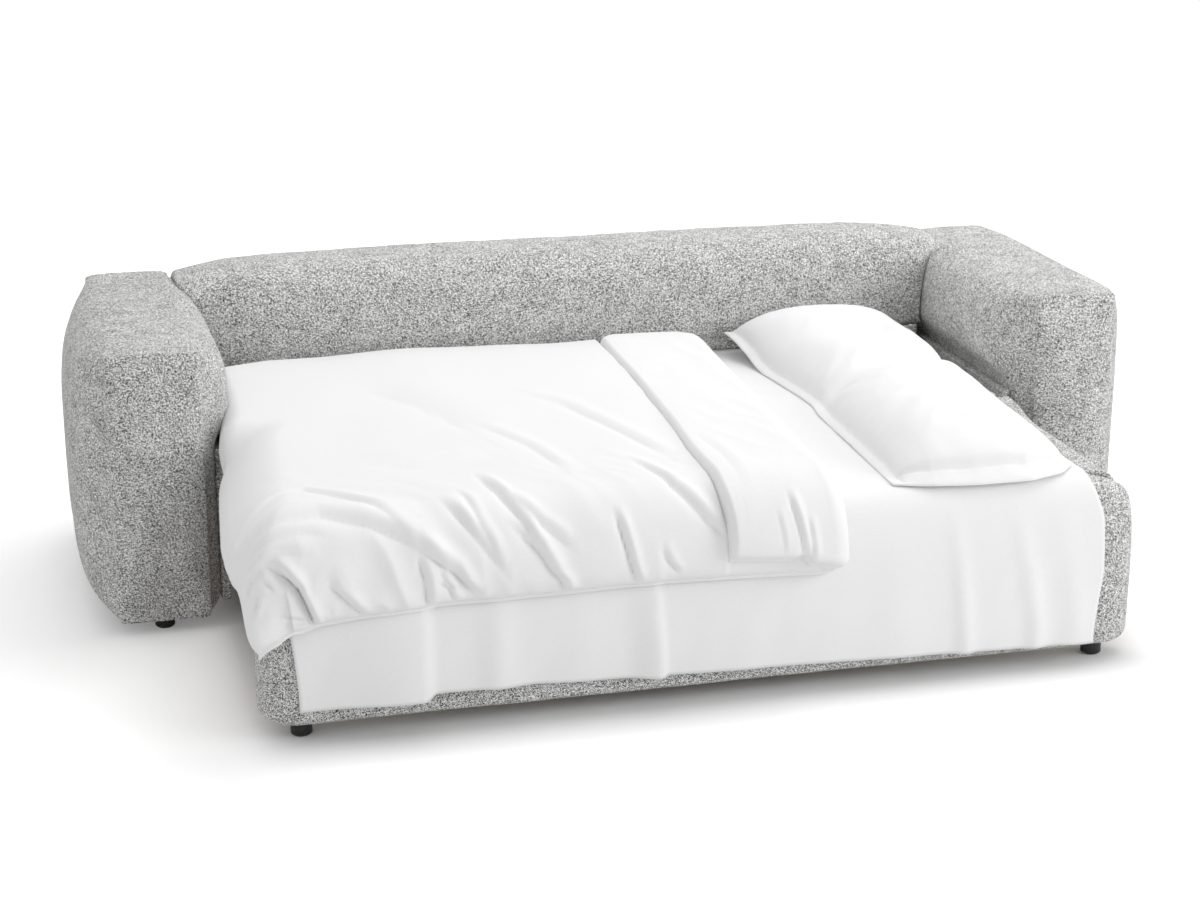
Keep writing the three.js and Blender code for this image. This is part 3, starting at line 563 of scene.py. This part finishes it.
def pad_piece(name, body, cad_node, side_round):
    """The solid's outline, with a wide round along both sides and its other edges softened."""
    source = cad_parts[cad_node]
    bm = bmesh.new()
    bm.from_mesh(source.data)
    bmesh.ops.remove_doubles(bm, verts=bm.verts, dist=1e-5)
    bmesh.ops.dissolve_limit(bm, angle_limit=math.radians(1.2), verts=bm.verts, edges=bm.edges)
    for edge in bm.edges:
        edge.smooth = True
    sharp = [e for e in bm.edges if len(e.link_faces) == 2 and e.calc_face_angle(0) > math.radians(28)]
    bmesh.ops.bevel(
        bm, geom=sharp, offset=0.007, segments=3, profile=0.5, affect="EDGES", material=-1, clamp_overlap=True
    )
    far = max(abs(v.co.x) for v in bm.verts)
    top, low = max(v.co.z for v in bm.verts), min(v.co.z for v in bm.verts)
    # towards the joint of the pads, where the ramp board lies close under the edge, the round runs out
    joint_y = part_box("bed_front_pad")[1].y
    insets = [side_round * (1 - math.sin(step * math.pi / 14)) for step in range(7)]
    planes = [((sign * (far - inset), 0, 0), (1, 0, 0)) for inset in insets for sign in (-1, 1)]
    steps = [0.02 + 0.04 * step for step in range(6)]
    planes += [((0, joint_y + sign * step, 0), (0, 1, 0)) for step in steps for sign in (-1, 1)]
    for point, direction in planes:
        everything = list(bm.verts) + list(bm.edges) + list(bm.faces)
        bmesh.ops.bisect_plane(bm, geom=everything, plane_co=point, plane_no=direction)
    for vert in bm.verts:
        past = abs(vert.co.x) - (far - side_round)
        if past > 0:
            sunk = side_round - math.sqrt(max(0.0, side_round ** 2 - past ** 2))
            rise = max(0.0, (vert.co.z - low) / (top - low)) ** 1.5
            sunk *= smooth(abs(vert.co.y - joint_y), 0.02, 0.22) * rise
            vert.co.z -= sunk
    bmesh.ops.triangulate(bm, faces=[f for f in bm.faces if len(f.verts) > 4])
    return add_piece(bm, name, tweed, body, [cad_node])


pad_piece("front_pad", "bed_unit", "bed_front_pad", 0.050)
pad_piece("back_pad", "rear_section", "rear_pad", 0.040)

# Sheet: thin white cotton, laid over both pads and hanging down in front of the bed, hemmed all round. It
# lies flat on top, and in front it falls in a few soft folds and one sharp one left by the ironing.
cotton = cloth_material(
    "white cotton", 1500, 0.05,
    [
        (0.2, (0.82, 0.82, 0.825, 1)), (0.45, (0.85, 0.85, 0.855, 1)),
        (0.55, (0.86, 0.86, 0.865, 1)), (0.8, (0.875, 0.875, 0.88, 1)),
    ],
    0.12, 0.0004, 0.85, 0.05, 0.30,
)
sheet_back = 0.540
sheet_left = -0.863
sheet_right = 0.848
bed_lift = 0.0065


def bed_line():
    """The bed's top and front as a line of depths and heights with its running length, just over the pads."""
    top = [(y, bed_top + bed_lift) for y in np.linspace(sheet_back, block_front + block_depth, 60)]
    rise = bed_top + bed_lift - belt_height
    depth = block_depth + bed_lift
    round_edge = []
    for turn in np.linspace(math.pi / 2, 0, 50)[1:]:
        y = block_front + block_depth - depth * math.cos(turn) ** (2 / 2.6)
        round_edge.append((y, belt_height + rise * math.sin(turn) ** (2 / 2.6)))
    drop = [(block_front - bed_lift, z) for z in np.linspace(belt_height, 0.03, 20)[1:]]
    points = np.array(top + round_edge + drop)
    lengths = np.concatenate([[0], np.cumsum(np.hypot(*np.diff(points, axis=0).T))])
    return lengths, points


line_lengths, line_points = bed_line()


def read(table, place):
    """What a table of places and values has at a place."""
    return float(np.interp(place, *table))


def on_bed_line(length, lift):
    """The depth and height at a running length of the line, lifted off it."""
    columns = [(line_lengths, line_points[:, i]) for i in (0, 1)]
    (y, z), ahead, behind = ([read(c, length + step) for c in columns] for step in (0, 0.004, -0.004))
    run = np.hypot(ahead[0] - behind[0], ahead[1] - behind[1])
    normal = (ahead[1] - behind[1]) / run, -(ahead[0] - behind[0]) / run
    return y + normal[0] * lift, z + normal[1] * lift


hem_line = (
    [-0.863, -0.764, -0.639, -0.604, -0.588, -0.463, -0.340, -0.173, -0.047, 0.168, 0.388, 0.612, 0.848],
    [0.073, 0.077, 0.082, 0.083, 0.086, 0.086, 0.083, 0.077, 0.073, 0.068, 0.063, 0.056, 0.052],
)
# place along the bed, width, height and lean of each soft hanging fold
sheet_folds = [
    (-0.465, 0.034, 0.012, 0.0), (-0.30, 0.05, 0.005, 0.0), (0.02, 0.06, 0.004, 0.02),
    (0.36, 0.05, 0.004, 0.02), (0.500, 0.020, 0.009, 0.03), (0.640, 0.022, 0.009, 0.05),
    (0.74, 0.03, 0.006, 0.04),
]


def sheet_stands_out(x, length, end):
    """How far the hanging part of the sheet stands off the bed's front."""
    hang = smooth(length, 1.16, end)
    out = 0.0
    for place, width, height, lean in sheet_folds:
        out += height * math.exp(-(((x - place - lean * hang) / width) ** 2))
    # the left panel stands forward of the rest and ends in a steep fold, and one fold was pressed in sharply
    out += 0.032 * smooth(x, -0.87, -0.64) ** 1.5 * (1 - smooth(x, -0.622, -0.590))
    pressed = -0.150 + 0.018 * hang
    before, after = smooth(x, pressed - 0.085, pressed) ** 1.5, max(0.0, 1 - (x - pressed) / 0.017)
    out += 0.019 * (before if x < pressed else after)
    slow = 0.0025 + 0.0035 * ripple(x * 6, length * 2.2, 1.7)
    quick = 0.0022 * ripple((x + 0.6 * length) * 17, (length - 0.4 * x) * 8, 5.2)
    return out * hang ** 0.7 + hang * (slow + quick)


right_edge_lean = [0.0, 0.30, 1.05, 1.16, 1.24, 1.36, 1.44, 1.50], [
    0.022, 0.0, -0.032, -0.030, -0.012, -0.010, -0.020, -0.027,
]
bm = bmesh.new()
bmesh.ops.create_grid(bm, x_segments=230, y_segments=150, size=1)
for vert in bm.verts:
    u, v = vert.co.x, vert.co.y
    flat_x = sheet_left + (sheet_right - sheet_left) * (u + 1) / 2
    hem = read(hem_line, flat_x)
    end = line_lengths[-1] - (hem - 0.03)
    length = (1 - v) / 2
    length = (length * 0.55 + 0.45 * length ** 0.6) * end
    hang = smooth(length, 1.16, end)
    right_lean = read(right_edge_lean, length) * smooth(u, 0.6, 1)
    left_lean = -0.024 * (1 - smooth(length, 1.2, end)) * smooth(-u, 0.7, 1)
    x = flat_x + right_lean + left_lean
    y, z = on_bed_line(length, 0.0006)
    out = sheet_stands_out(x, length, end)
    flat = 1 - hang
    z += flat * max(0.0, 0.0016 * ripple(x * 5, y * 5, 3.3) + 0.0009 * ripple(x * 16 + y * 9, y * 14, 8.8))
    vert.co = (x, y - max(out, 0) + arm_front, z)
sheet = add_piece(bm, "bed_sheet", cotton, "sheet", ["sheet"])
cloth_thickness = sheet.modifiers.new("cloth", "SOLIDIFY")
cloth_thickness.thickness = 0.0012
cloth_thickness.offset = 1
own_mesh(sheet)

# Duvet: two layers of cotton with a light filling, sewn into a hem all round. It hangs over the front of the
# bed and over its front left corner, and its right edge is turned back over itself.
duvet_front_edge = -0.604
duvet_round = 0.070
duvet_base = bed_top + bed_lift + 0.002
side_drop = 0.150
hem_band = 0.009
hem_thickness = 0.0048
fold_radius = 0.023
back_edge = (
    [-0.90, -0.869, -0.80, -0.691, -0.446, -0.202, 0.043, 0.30],
    [0.38, 0.415, 0.458, 0.494, 0.512, 0.511, 0.497, 0.487],
)
front_drop = (
    [-1.03, -0.941, -0.886, -0.861, -0.825, -0.729, -0.570, -0.383, -0.150, 0.034, 0.262],
    [0.200, 0.212, 0.205, 0.206, 0.196, 0.186, 0.178, 0.178, 0.174, 0.178, 0.188],
)
fold_line = (
    [-0.758, -0.639, -0.507, -0.200, 0.145, 0.337, 0.42],
    [0.205, 0.199, 0.198, 0.212, 0.228, 0.238, 0.244],
)
free_line = (
    [-0.714, -0.669, -0.642, -0.484, -0.266, 0.124, 0.318, 0.436],
    [-0.006, -0.013, -0.013, -0.012, 0.004, 0.022, 0.024, 0.028],
)
flap_shortfall = (
    [-0.02, 0.046, 0.121, 0.148, 0.167, 0.198, 0.236],
    [0.052, 0.049, 0.045, 0.052, 0.032, 0.027, 0.016],
)
side_edge_line = [-0.62, -0.45, -0.36, -0.25, -0.12, 0.0], [-0.876, -0.872, -0.864, -0.853, -0.838, -0.824]
# creases in millimetres: a line over the bed (x, running depth), then width, depth and height of the roll
duvet_creases = [
    (
        [(-989, -641), (-934, -597), (-865, -530), (-814, -510), (-746, -557), (-687, -610), (-650, -643)],
        9, 5, 4.5,
    ),
    ([(-983, -635), (-888, -619), (-802, -612), (-721, -630), (-657, -651), (-602, -675)], 11, 8, 8),
    ([(-959, -652), (-892, -637), (-841, -635), (-790, -641)], 7, 3.5, 3),
    ([(-943, -664), (-882, -655), (-833, -662)], 6, 3, 2.5),
    ([(-632, -668), (-618, -703), (-613, -770)], 10, 12, 6),
    ([(-631, -664), (-598, -680), (-557, -700), (-520, -742)], 10, 14, 13),
    ([(-597, -702), (-573, -724), (-556, -760)], 7, 7, 5),
    ([(-915, -655), (-886, -682), (-863, -703), (-846, -748), (-833, -785)], 8, 30, 14),
    ([(-974, -680), (-937, -665), (-911, -664)], 7, 6, 4.5),
    ([(-938, -686), (-946, -700), (-966, -716)], 6, 5, 4),
    ([(-924, -671), (-906, -695)], 6, 5, 3),
    ([(-905, -748), (-850, -762)], 6, 5, 3.5),
    ([(-810, -690), (-779, -723), (-732, -772)], 9, 8.5, 7),
    ([(-474, -470), (-443, -610), (-391, -672)], 11, 9, 8),
    ([(-576, -592), (-535, -634), (-500, -668), (-462, -702)], 10, 8.5, 7),
    ([(-530, -560), (-502, -640), (-472, -680)], 8, 5, 4),
    ([(-302, 104), (-193, -50), (-136, -238), (-99, -371), (-65, -479)], 16, 4, 4.5),
    ([(-158, -440), (-101, -612), (-45, -662), (-12, -684)], 9, 8, 7.5),
    ([(-434, -600), (-378, -650), (-325, -680)], 8, 7, 5.5),
    ([(-450, -640), (-391, -680), (-350, -728), (-332, -765)], 10, 12, 11),
    ([(-234, -632), (-215, -685), (-190, -755)], 8, 11.5, 8),
    ([(-148, -685), (-109, -735)], 7, 6.5, 5),
    ([(-594, -686), (-560, -728)], 7, 6, 5),
    ([(-700, -380), (-560, -430), (-420, -430)], 40, 3.5, 3),
    ([(-620, 220), (-500, 20), (-420, -220)], 55, 5, 4.5),
    ([(-420, -120), (-330, -330), (-290, -500)], 14, 3, 4),
]
flap_creases = [
    ([(116, -650), (128, -682), (143, -722)], 7, 6, 6),
    ([(150, -676), (160, -722)], 6, 3.5, 4),
    ([(88, -668), (100, -712)], 6, 2, 2.5),
    ([(20, -360), (35, -520), (30, -640)], 14, 1.5, 2.2),
]


def prepared(creases):
    """Turns the creases into metres, and adds to each the box of places that it reaches."""
    lines = []
    for line, *sizes in creases:
        line = [(x / 1000, s / 1000) for x, s in line]
        width, depth, roll = (size / 1000 for size in sizes)
        xs, lengths = [p[0] for p in line], [p[1] for p in line]
        reach = 4 * width
        box = (min(xs) - reach, max(xs) + reach, min(lengths) - reach, max(lengths) + reach)
        lines.append((line, width, depth, roll, box))
    return lines


body_lines = prepared(duvet_creases)
flap_lines = prepared(flap_creases)


def crease_height(lines, x, s):
    """How much the creases raise or lower the cloth at a place over the bed."""
    total = 0.0
    for line, width, depth, roll, (low_x, high_x, low_s, high_s) in lines:
        if not (low_x < x < high_x and low_s < s < high_s):
            continue
        best, side, along = 9.0, 1.0, 0.0
        count = len(line) - 1
        for i, ((from_x, from_s), (to_x, to_s)) in enumerate(zip(line, line[1:])):
            run_x, run_s = to_x - from_x, to_s - from_s
            share = ((x - from_x) * run_x + (s - from_s) * run_s) / (run_x * run_x + run_s * run_s)
            share = min(1.0, max(0.0, share))
            gap_x, gap_s = x - from_x - share * run_x, s - from_s - share * run_s
            gap = math.hypot(gap_x, gap_s)
            if gap < best:
                best, along = gap, (i + share) / count
                side = math.copysign(1.0, run_x * gap_s - run_s * gap_x)
        taper = smooth(along, -0.02, 0.35) * smooth(1 - along, -0.08, 0.22)
        signed = best * side / width
        total -= 1.15 * depth * taper * math.exp(-1.5 * abs(signed))
        total += roll * taper * math.exp(-abs((signed - 1.6) / 1.2) ** 1.8)
    return total


def crest(across, along, seed):
    """Narrow ridges with soft hollows between them, drawn out along one direction."""
    value = ripple(across, along, seed)
    return 0.72 - math.sqrt(value * value * 9 + 0.03)


def fine_folds(x, s):
    """The fine tension folds: they lean to the front right, and run round the front left corner."""
    front = smooth(-s, 0.30, 0.62)
    leaning = crest((x + 0.45 * s) * 9.5, s * 3.2, 1.5) * 0.6 + crest((x + 0.5 * s) * 19, s * 6, 8.1) * 0.4
    corner_x, corner_s = x + 0.80, s + 0.78
    from_corner = math.hypot(corner_x, corner_s)
    arcs = crest(from_corner * 17, math.atan2(corner_s, corner_x) * 1.3, 4.4)
    near_corner = smooth(0.42 - from_corner, 0.0, 0.2)
    patchy = 0.55 + 0.9 * ripple(x * 3.7, s * 3.7, 12.0)
    return (leaning * (1 - near_corner) * front * 0.0050 + arcs * near_corner * 0.0042) * max(0.1, patchy)


def side_edge_at(s):
    """Where the cloth starts to turn down at the bed's left side."""
    return read(side_edge_line, s)


def over_bed(x, s, lift, side_edge):
    """Puts a place of the flat cloth on the bed: it turns down over the side and front edges."""
    past_side = (side_edge - x + math.hypot(side_edge - x, 0.035)) / 2
    past_front = max(0.0, duvet_front_edge - s)
    over = math.hypot(past_side, past_front)
    out_x, out_y = -past_side / over, -past_front / over
    turn = min(over / duvet_round, math.pi / 2)
    # at the corner the cloth has too much length to lie close, and stands off
    stand_off = 0.034 * smooth(over, 0.11, 0.25) * math.sqrt(abs(2 * out_x * out_y))
    out = (duvet_round + lift) * math.sin(turn) + stand_off
    drop = duvet_round - (duvet_round + lift) * math.cos(turn) + max(0.0, over - duvet_round * math.pi / 2)
    return Vector((x + past_side + out_x * out, s + past_front + out_y * out, duvet_base - drop))


def beside_arm_edge(s):
    """The cloth's left edge where it lies flat: it is tucked in under the swell of the arm."""
    return read(([-0.06, -0.02, 0.02, 0.06, 0.20], [-0.950, -0.938, -0.931, -0.926, -0.917]), s)


def hem_rise(distance, reach):
    """How full the cloth is at a distance from its sewn edge: nothing in the hem, and then quickly more."""
    share = min(1.0, max(0.0, (distance - hem_band) / reach))
    return math.sqrt(1 - (1 - share) ** 2)


def stitch_line(from_hem):
    """The groove of the seam beside the cloth's front hem."""
    return -0.0026 * math.exp(-(((from_hem - hem_band - 0.003) / 0.0032) ** 2))


hang_lengths = line_lengths[60:]
hang_heights = line_points[60:, 1]


def lies_on_sheet(place):
    """Carries a place of the hanging duvet forward by what the sheet under it stands out."""
    if place.y < duvet_front_edge and place.x > sheet_left:
        out = sheet_stands_out(place.x, read((-hang_heights, hang_lengths), -place.z), line_lengths[-1])
        place.y -= 0.85 * out * smooth(place.x, sheet_left, sheet_left + 0.03)
    return place


def between_edges(left, right, share):
    """The columns lie closer together at the left, where most of the creases are."""
    return left + (right - left) * share * (0.72 + 0.28 * share)


def body_place(across, s, from_hem, from_back, w, hanging):
    """A place of the duvet's main part, either hanging over the side or flat by the arm."""
    side_edge = side_edge_at(s) if hanging else -2.0
    left = side_edge - side_drop if hanging else beside_arm_edge(s)
    fold_at = read(fold_line, s)
    free_at = read(free_line, s)
    share = across / body_share
    x = between_edges(left, fold_at, share)
    from_left = x - left
    left_fill = hem_rise(from_left, 0.055) if hanging else hem_rise(from_left + hem_band, 0.050)
    hang = smooth(duvet_front_edge - s, -0.02, 0.09)
    over_side = smooth(side_edge - x, -0.03, 0.06)
    filled = 0.066 + 0.012 * ripple(x * 2.1, s * 1.7, 4.4)
    filled += (0.040 - filled) * max(hang, over_side)
    under_flap = smooth(x, free_at - 0.004, free_at + 0.008)
    hem = hem_rise(from_hem, 0.055) * min(1.0, 0.25 + hem_rise(from_back, 0.075))
    thick = hem_thickness + (filled + (0.034 - filled) * under_flap) * hem * left_fill
    lift = (1 + w) * thick / 2
    if w > 0:
        edges = min(1.0, max(0.0, from_hem - 0.004) / 0.022, from_left / 0.02 if hanging else 1.0)
        shifted = s + 0.010 * smooth(-s, 0.50, 0.62)
        folds = crease_height(body_lines, x, shifted) if s < 0.35 else 0.0
        folds += fine_folds(x, s)
        folds += 0.0030 * ripple(x * 5.5, s * 4.2, 6.1)
        past_side = max(0.0, side_edge - x)
        past_front = max(0.0, duvet_front_edge - s)
        if past_side > 0.01 and past_front > 0.01:
            direction = math.atan2(past_front, past_side)
            fan = smooth(math.hypot(past_side, past_front), 0.04, 0.2)
            folds += 0.009 * math.cos((direction - 0.85) * 4.6) * fan
        lift = max(lift + folds * max(0.0, edges) * (1 - 0.7 * under_flap), hem_thickness * 0.8)
        lift += stitch_line(from_hem)
    return lies_on_sheet(over_bed(x, s, lift, side_edge))


bm = cut_block(400, 200, 2)
body_share = 0.79
turn_share = 0.05
for vert in bm.verts:
    u, v, w = vert.co
    across = (u + 1) / 2
    depth = (1 - v) / 2
    # the rows lie close together towards the front, where the folds are
    depth = 1 - (1 - depth) * (0.36 + 0.64 * (1 - depth))
    rough_s = 0.5 - depth * 1.27
    left = side_edge_at(rough_s) - side_drop * smooth(-rough_s, 0.0, 0.14)
    fold_at = read(fold_line, rough_s)
    free_at = read(free_line, rough_s)
    turned = min(1.0, max(0.0, (across - body_share) / turn_share)) * math.pi
    share = across / body_share
    if turned == 0.0:
        x = between_edges(left, fold_at, share)
    elif turned < math.pi:
        x = fold_at + fold_radius * math.sin(turned)
    else:
        x = fold_at - (fold_at - free_at) * (across - body_share - turn_share) / (1 - body_share - turn_share)
    body_end = duvet_front_edge - read(front_drop, x)
    short = 0.0
    if turned:
        short = read(flap_shortfall, x) * smooth(turned, 0.0, math.pi)
    start = read(back_edge, x) - (0.004 if turned else 0.0)
    start -= 0.030 * smooth(x, fold_at - 0.05, fold_at + 0.02) ** 2
    if turned == math.pi:
        start -= 0.026 * (1 - smooth(x, free_at, free_at + 0.05)) ** 2
    end = body_end + short
    s = start + (end - start) * depth
    from_hem, from_back = (s - end), (start - s)
    if turned == 0.0:
        hanging = smooth(-s, 0.0, 0.13)
        place = Vector((0, 0, 0))
        if hanging > 0:
            place += body_place(across, s, from_hem, from_back, w, True) * hanging
        if hanging < 1:
            place += body_place(across, s, from_hem, from_back, w, False) * (1 - hanging)
    else:
        back_fill = min(1.0, 0.25 + hem_rise(from_back, 0.075))
        body = hem_thickness + 0.034 * hem_rise(s - body_end, 0.050) * back_fill
        flap_fill = 1.0
        if turned == math.pi:
            flap_fill = hem_rise(x - free_at + 0.009, 0.012)
        thick = hem_thickness + 0.036 * hem_rise(from_hem, 0.032) * back_fill * flap_fill
        rest = body + 0.001
        centre = body / 2 + (rest + thick / 2 - body / 2) * (1 - math.cos(turned)) / 2
        lift = centre + math.cos(turned) * w * thick / 2
        x -= math.sin(turned) * w * thick / 2
        if turned == math.pi and w < 0:
            folds = crease_height(flap_lines, x, s) + 0.0020 * ripple(x * 7, s * 5, 9.9)
            folds += 0.0009 * crest((x + 0.2 * s) * 16, s * 4, 3.3)
            lift += folds * min(1.0, from_hem / 0.012, (x - free_at) / 0.03) + stitch_line(from_hem)
        place = lies_on_sheet(over_bed(x, s, lift, -2.0))
    vert.co = (place.x, place.y + arm_front, place.z)
duvet = add_piece(bm, "duvet_cover", cotton, "duvet", ["duvet"])
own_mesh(duvet)

# Pillow: a long cotton case over two soft fillings, pinched where they meet. A flat stitched band runs along
# its left side, and its front end is a hem that the filling doesn't reach.
pillow_height = 0.101
pillow_left = (
    [-0.66, -0.53, -0.30, -0.16, -0.07, 0.00, 0.07, 0.20, 0.38, 0.50],
    [0.386, 0.389, 0.400, 0.404, 0.409, 0.420, 0.417, 0.405, 0.386, 0.362],
)
pillow_right = (
    [-0.58, -0.45, -0.30, -0.10, 0.02, 0.07, 0.12, 0.25, 0.40, 0.47],
    [0.806, 0.804, 0.800, 0.800, 0.802, 0.796, 0.806, 0.812, 0.790, 0.757],
)
pillow_ends_u = [-1.0, -0.6, -0.15, 0.4, 0.8, 1.0]
pillow_front_y = [-0.592, -0.622, -0.634, -0.634, -0.604, -0.556]
pillow_back_y = [0.500, 0.511, 0.515, 0.512, 0.495, 0.470]
front_band = 0.036
side_band = 0.021


def puffed(distance, band, reach, band_rise):
    """How full the case is at a distance from its edge: a flat sewn band, and then the filling."""
    inside = min(1.0, max(0.0, (distance - band) / reach))
    flat = band_rise * min(1.0, max(0.0, distance / band)) ** 0.8
    return flat + (1 - band_rise) * math.sqrt(1 - (1 - inside) ** 2)


def seam_groove(distance, band):
    return -0.0046 * math.exp(-(((distance - band) / 0.0040) ** 2))


bm = cut_block(64, 150, 4)
for vert in bm.verts:
    u, v, w = vert.co
    # rows and columns lie closer at the front end and the left side, where the sewn bands are
    along, across = (v + 1) / 2, (u + 1) / 2
    along *= 0.40 + 0.60 * along
    across *= 0.50 + 0.50 * across
    front = read((pillow_ends_u, pillow_front_y), 2 * across - 1)
    back = read((pillow_ends_u, pillow_back_y), 2 * across - 1)
    y = front + (back - front) * along
    left = read(pillow_left, y)
    right = read(pillow_right, y)
    x = left + (right - left) * across
    to_front, to_back, to_left, to_right = y - front, back - y, x - left, right - x
    full = puffed(to_front, front_band, 0.22, 0.27) * puffed(to_left, side_band, 0.150, 0.09)
    right_reach = 0.090 + 0.120 * smooth(-y, 0.05, 0.45)
    full *= puffed(to_right, 0.008, right_reach, 0.10) * puffed(to_back, 0.010, 0.20, 0.10)
    pinch_y = -0.045 + 0.115 * across
    pinch = math.exp(-(((y - pinch_y) / (0.045 + 0.05 * across * (1 - across))) ** 2))
    full *= 1 - (0.20 + 0.30 * (2 * across - 1) ** 2) * pinch
    thick = 0.0045 + pillow_height * full
    lean = 0.050 * smooth(y, 0.28, 0.50)
    if w > 0:
        soft = 0.0060 * ripple(x * 5, y * 4, 7.7) + 0.0028 * ripple(x * 11 + y * 5, y * 9, 2.2)
        puckers = 0.0055 * ripple(x * 24 + y * 5, y * 4, 3.1)
        puckers *= math.exp(-to_front / 0.07) * min(1, to_front / 0.02)
        side_puckers = 0.0040 * ripple(x * 5, y * 30, 1.3)
        side_puckers *= math.exp(-to_left / 0.035) * min(1, to_left / 0.012)
        notch_x, notch_y = x - 0.40, y + 0.045
        from_notch = math.hypot(notch_x, notch_y)
        rays = 0.0050 * ripple(math.atan2(notch_y, notch_x) * 4.4, from_notch * 5, 6.6)
        rays *= smooth(from_notch, 0.015, 0.06) * (1 - smooth(from_notch, 0.10, 0.24))
        pulls = 0.0022 * crest((x - 0.7 * y) * 15, (y + 0.7 * x) * 4, 5.5) * smooth(full, 0.5, 1.0)
        thick += soft * full + puckers + side_puckers + rays * full ** 0.5 + pulls
        grooves = seam_groove(to_front, front_band) * min(1, to_left / 0.03)
        thick += grooves + seam_groove(to_left, side_band) * min(1, to_front / 0.03)
        thick = max(thick, 0.0035)
        z = thick * (0.55 + 0.45 * w)
    else:
        z = thick * 0.5 * (1 + w) * (1 - full) * 0.3
    hump = 0.0026 * ripple(x * 17, 4.4, 0) * math.exp(-to_front / 0.03)
    vert.co = (x, y + arm_front, bed_top + bed_lift + 0.0035 + z + max(0.0, hump) + lean)
pillow = add_piece(bm, "pillow_case", cotton, "pillow", ["pillow"], levels=1)
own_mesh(pillow)

# Studio: a plain white floor that the camera sees as white, whose camera-only glow is weaker near the sofa
# as a painted shadow, an even white surround, and a large soft lamp over and behind the sofa, which leaves
# a soft shadow in front of it.
floor_bm = bmesh.new()
bmesh.ops.create_grid(floor_bm, x_segments=1, y_segments=1, size=30)
floor_mesh = bpy.data.meshes.new("studio_floor")
floor_bm.to_mesh(floor_mesh)
floor_bm.free()
floor = bpy.data.objects.new("studio_floor", floor_mesh)
bpy.context.collection.objects.link(floor)
floor_paint = bpy.data.materials.new("studio white with painted shadow")
floor_paint.use_nodes = True
tree = floor_paint.node_tree
tree.nodes.clear()
output = node(tree, "OutputMaterial")
matt_white = node(tree, "BsdfDiffuse", {"Color": (0.84, 0.84, 0.84, 1)})
# the floor's glow, seen only by the camera: white away from the sofa, and a painted shadow near it
glow_with_painted_shadow = node(tree, "Emission")
ray = node(tree, "LightPath")
seen = node(tree, "Math", operation="MULTIPLY")
floor_place = node(tree, "TexCoord")
painted_shadow_distance = node(tree, "Math", operation="MINIMUM")
# painted shadow: the floor's glow is weaker near the arms and back, and near the bed in front of them, so the
# floor is darker there
for slot_number, (middle_y, half_x, half_y) in enumerate(((0.40, 1.19, 0.36), (-0.32, 0.90, 0.31))):
    centred = node(tree, "VectorMath", {1: (0, arm_front + middle_y, 0)}, operation="SUBTRACT")
    beside = node(tree, "VectorMath", operation="ABSOLUTE")
    past_edge = node(tree, "VectorMath", {1: (half_x, half_y, 0)}, operation="SUBTRACT")
    outside = node(tree, "VectorMath", {1: (0, 0, 0)}, operation="MAXIMUM")
    away = node(tree, "VectorMath", operation="LENGTH")
    join(
        tree, (floor_place, "Object", centred, 0), (centred, 0, beside, 0), (beside, 0, past_edge, 0),
        (past_edge, 0, outside, 0), (outside, 0, away, 0), (away, "Value", painted_shadow_distance, slot_number),
    )
# painted shadow: in front it is dark and ends soon, at the left it is paler and reaches further
painted_shadow_ramps = []
for greys in (
    ((0.0, 0.0), (0.035, 0.01), (0.12, 0.20), (0.27, 0.50), (1.0, 0.52)),
    ((0.0, 0.17), (0.06, 0.26), (0.16, 0.32), (0.40, 0.36), (0.90, 0.50)),
):
    painted_shadow_fade = colour_ramp(tree, [(position, (grey, grey, grey, 1)) for position, grey in greys])
    reach = node(tree, "Math", {1: 0.8}, operation="DIVIDE")
    join(tree, (painted_shadow_distance, 0, reach, 0), (reach, 0, painted_shadow_fade, "Fac"))
    painted_shadow_ramps.append(painted_shadow_fade)
# painted light: left of the bed the glow takes the paler ramp, which lightens the lamp's shadow there
axes = node(tree, "SeparateXYZ")
edges = {"From Min": -0.84, "From Max": -1.00}
painted_light_leftward = node(tree, "MapRange", edges, interpolation_type="SMOOTHSTEP")
painted_shadow_by_side = node(tree, "Mix", data_type="FLOAT")
both = node(tree, "AddShader")
join(
    tree, (floor_place, "Object", axes, 0), (axes, "X", painted_light_leftward, "Value"),
    (painted_light_leftward, "Result", painted_shadow_by_side, "Factor"), (painted_shadow_ramps[0], "Color", painted_shadow_by_side, "A"),
    (painted_shadow_ramps[1], "Color", painted_shadow_by_side, "B"), (painted_shadow_by_side, "Result", seen, 1),
    (ray, "Is Camera Ray", seen, 0), (seen, 0, glow_with_painted_shadow, "Strength"), (matt_white, 0, both, 0),
    (glow_with_painted_shadow, 0, both, 1), (both, 0, output, "Surface"),
)
floor_mesh.materials.append(floor_paint)

world = bpy.data.worlds.new("studio surround")
bpy.context.scene.world = world
world.use_nodes = True
tree = world.node_tree
tree.nodes.clear()
output = node(tree, "OutputWorld")
surround = node(tree, "Background", {"Color": (1, 1, 1, 1)})
ray = node(tree, "LightPath")
direct = node(tree, "Math", operation="MAXIMUM")
strength = node(tree, "MapRange", {"To Min": 0.72, "To Max": 1.0})
join(
    tree, (ray, "Is Camera Ray", direct, 0), (ray, "Is Glossy Ray", direct, 1),
    (direct, 0, strength, "Value"), (strength, "Result", surround, "Strength"),
    (surround, 0, output, "Surface"),
)


def soft_lamp(name, place, aim, size, power):
    data = bpy.data.lights.new(name, "AREA")
    data.shape = "RECTANGLE"
    data.size, data.size_y = size
    data.energy = power
    lamp = bpy.data.objects.new(name, data)
    bpy.context.collection.objects.link(lamp)
    lamp.location = place
    lamp.rotation_euler = (Vector(aim) - Vector(place)).to_track_quat("-Z", "Y").to_euler()


soft_lamp("top_lamp", (1.4, 1.2, 4.4), (0, 0, 0.3), (4.5, 3.0), 90)
soft_lamp("side_lamp", (4.4, -3.4, 2.4), (0.4, -0.2, 0.3), (2.6, 2.2), 92)
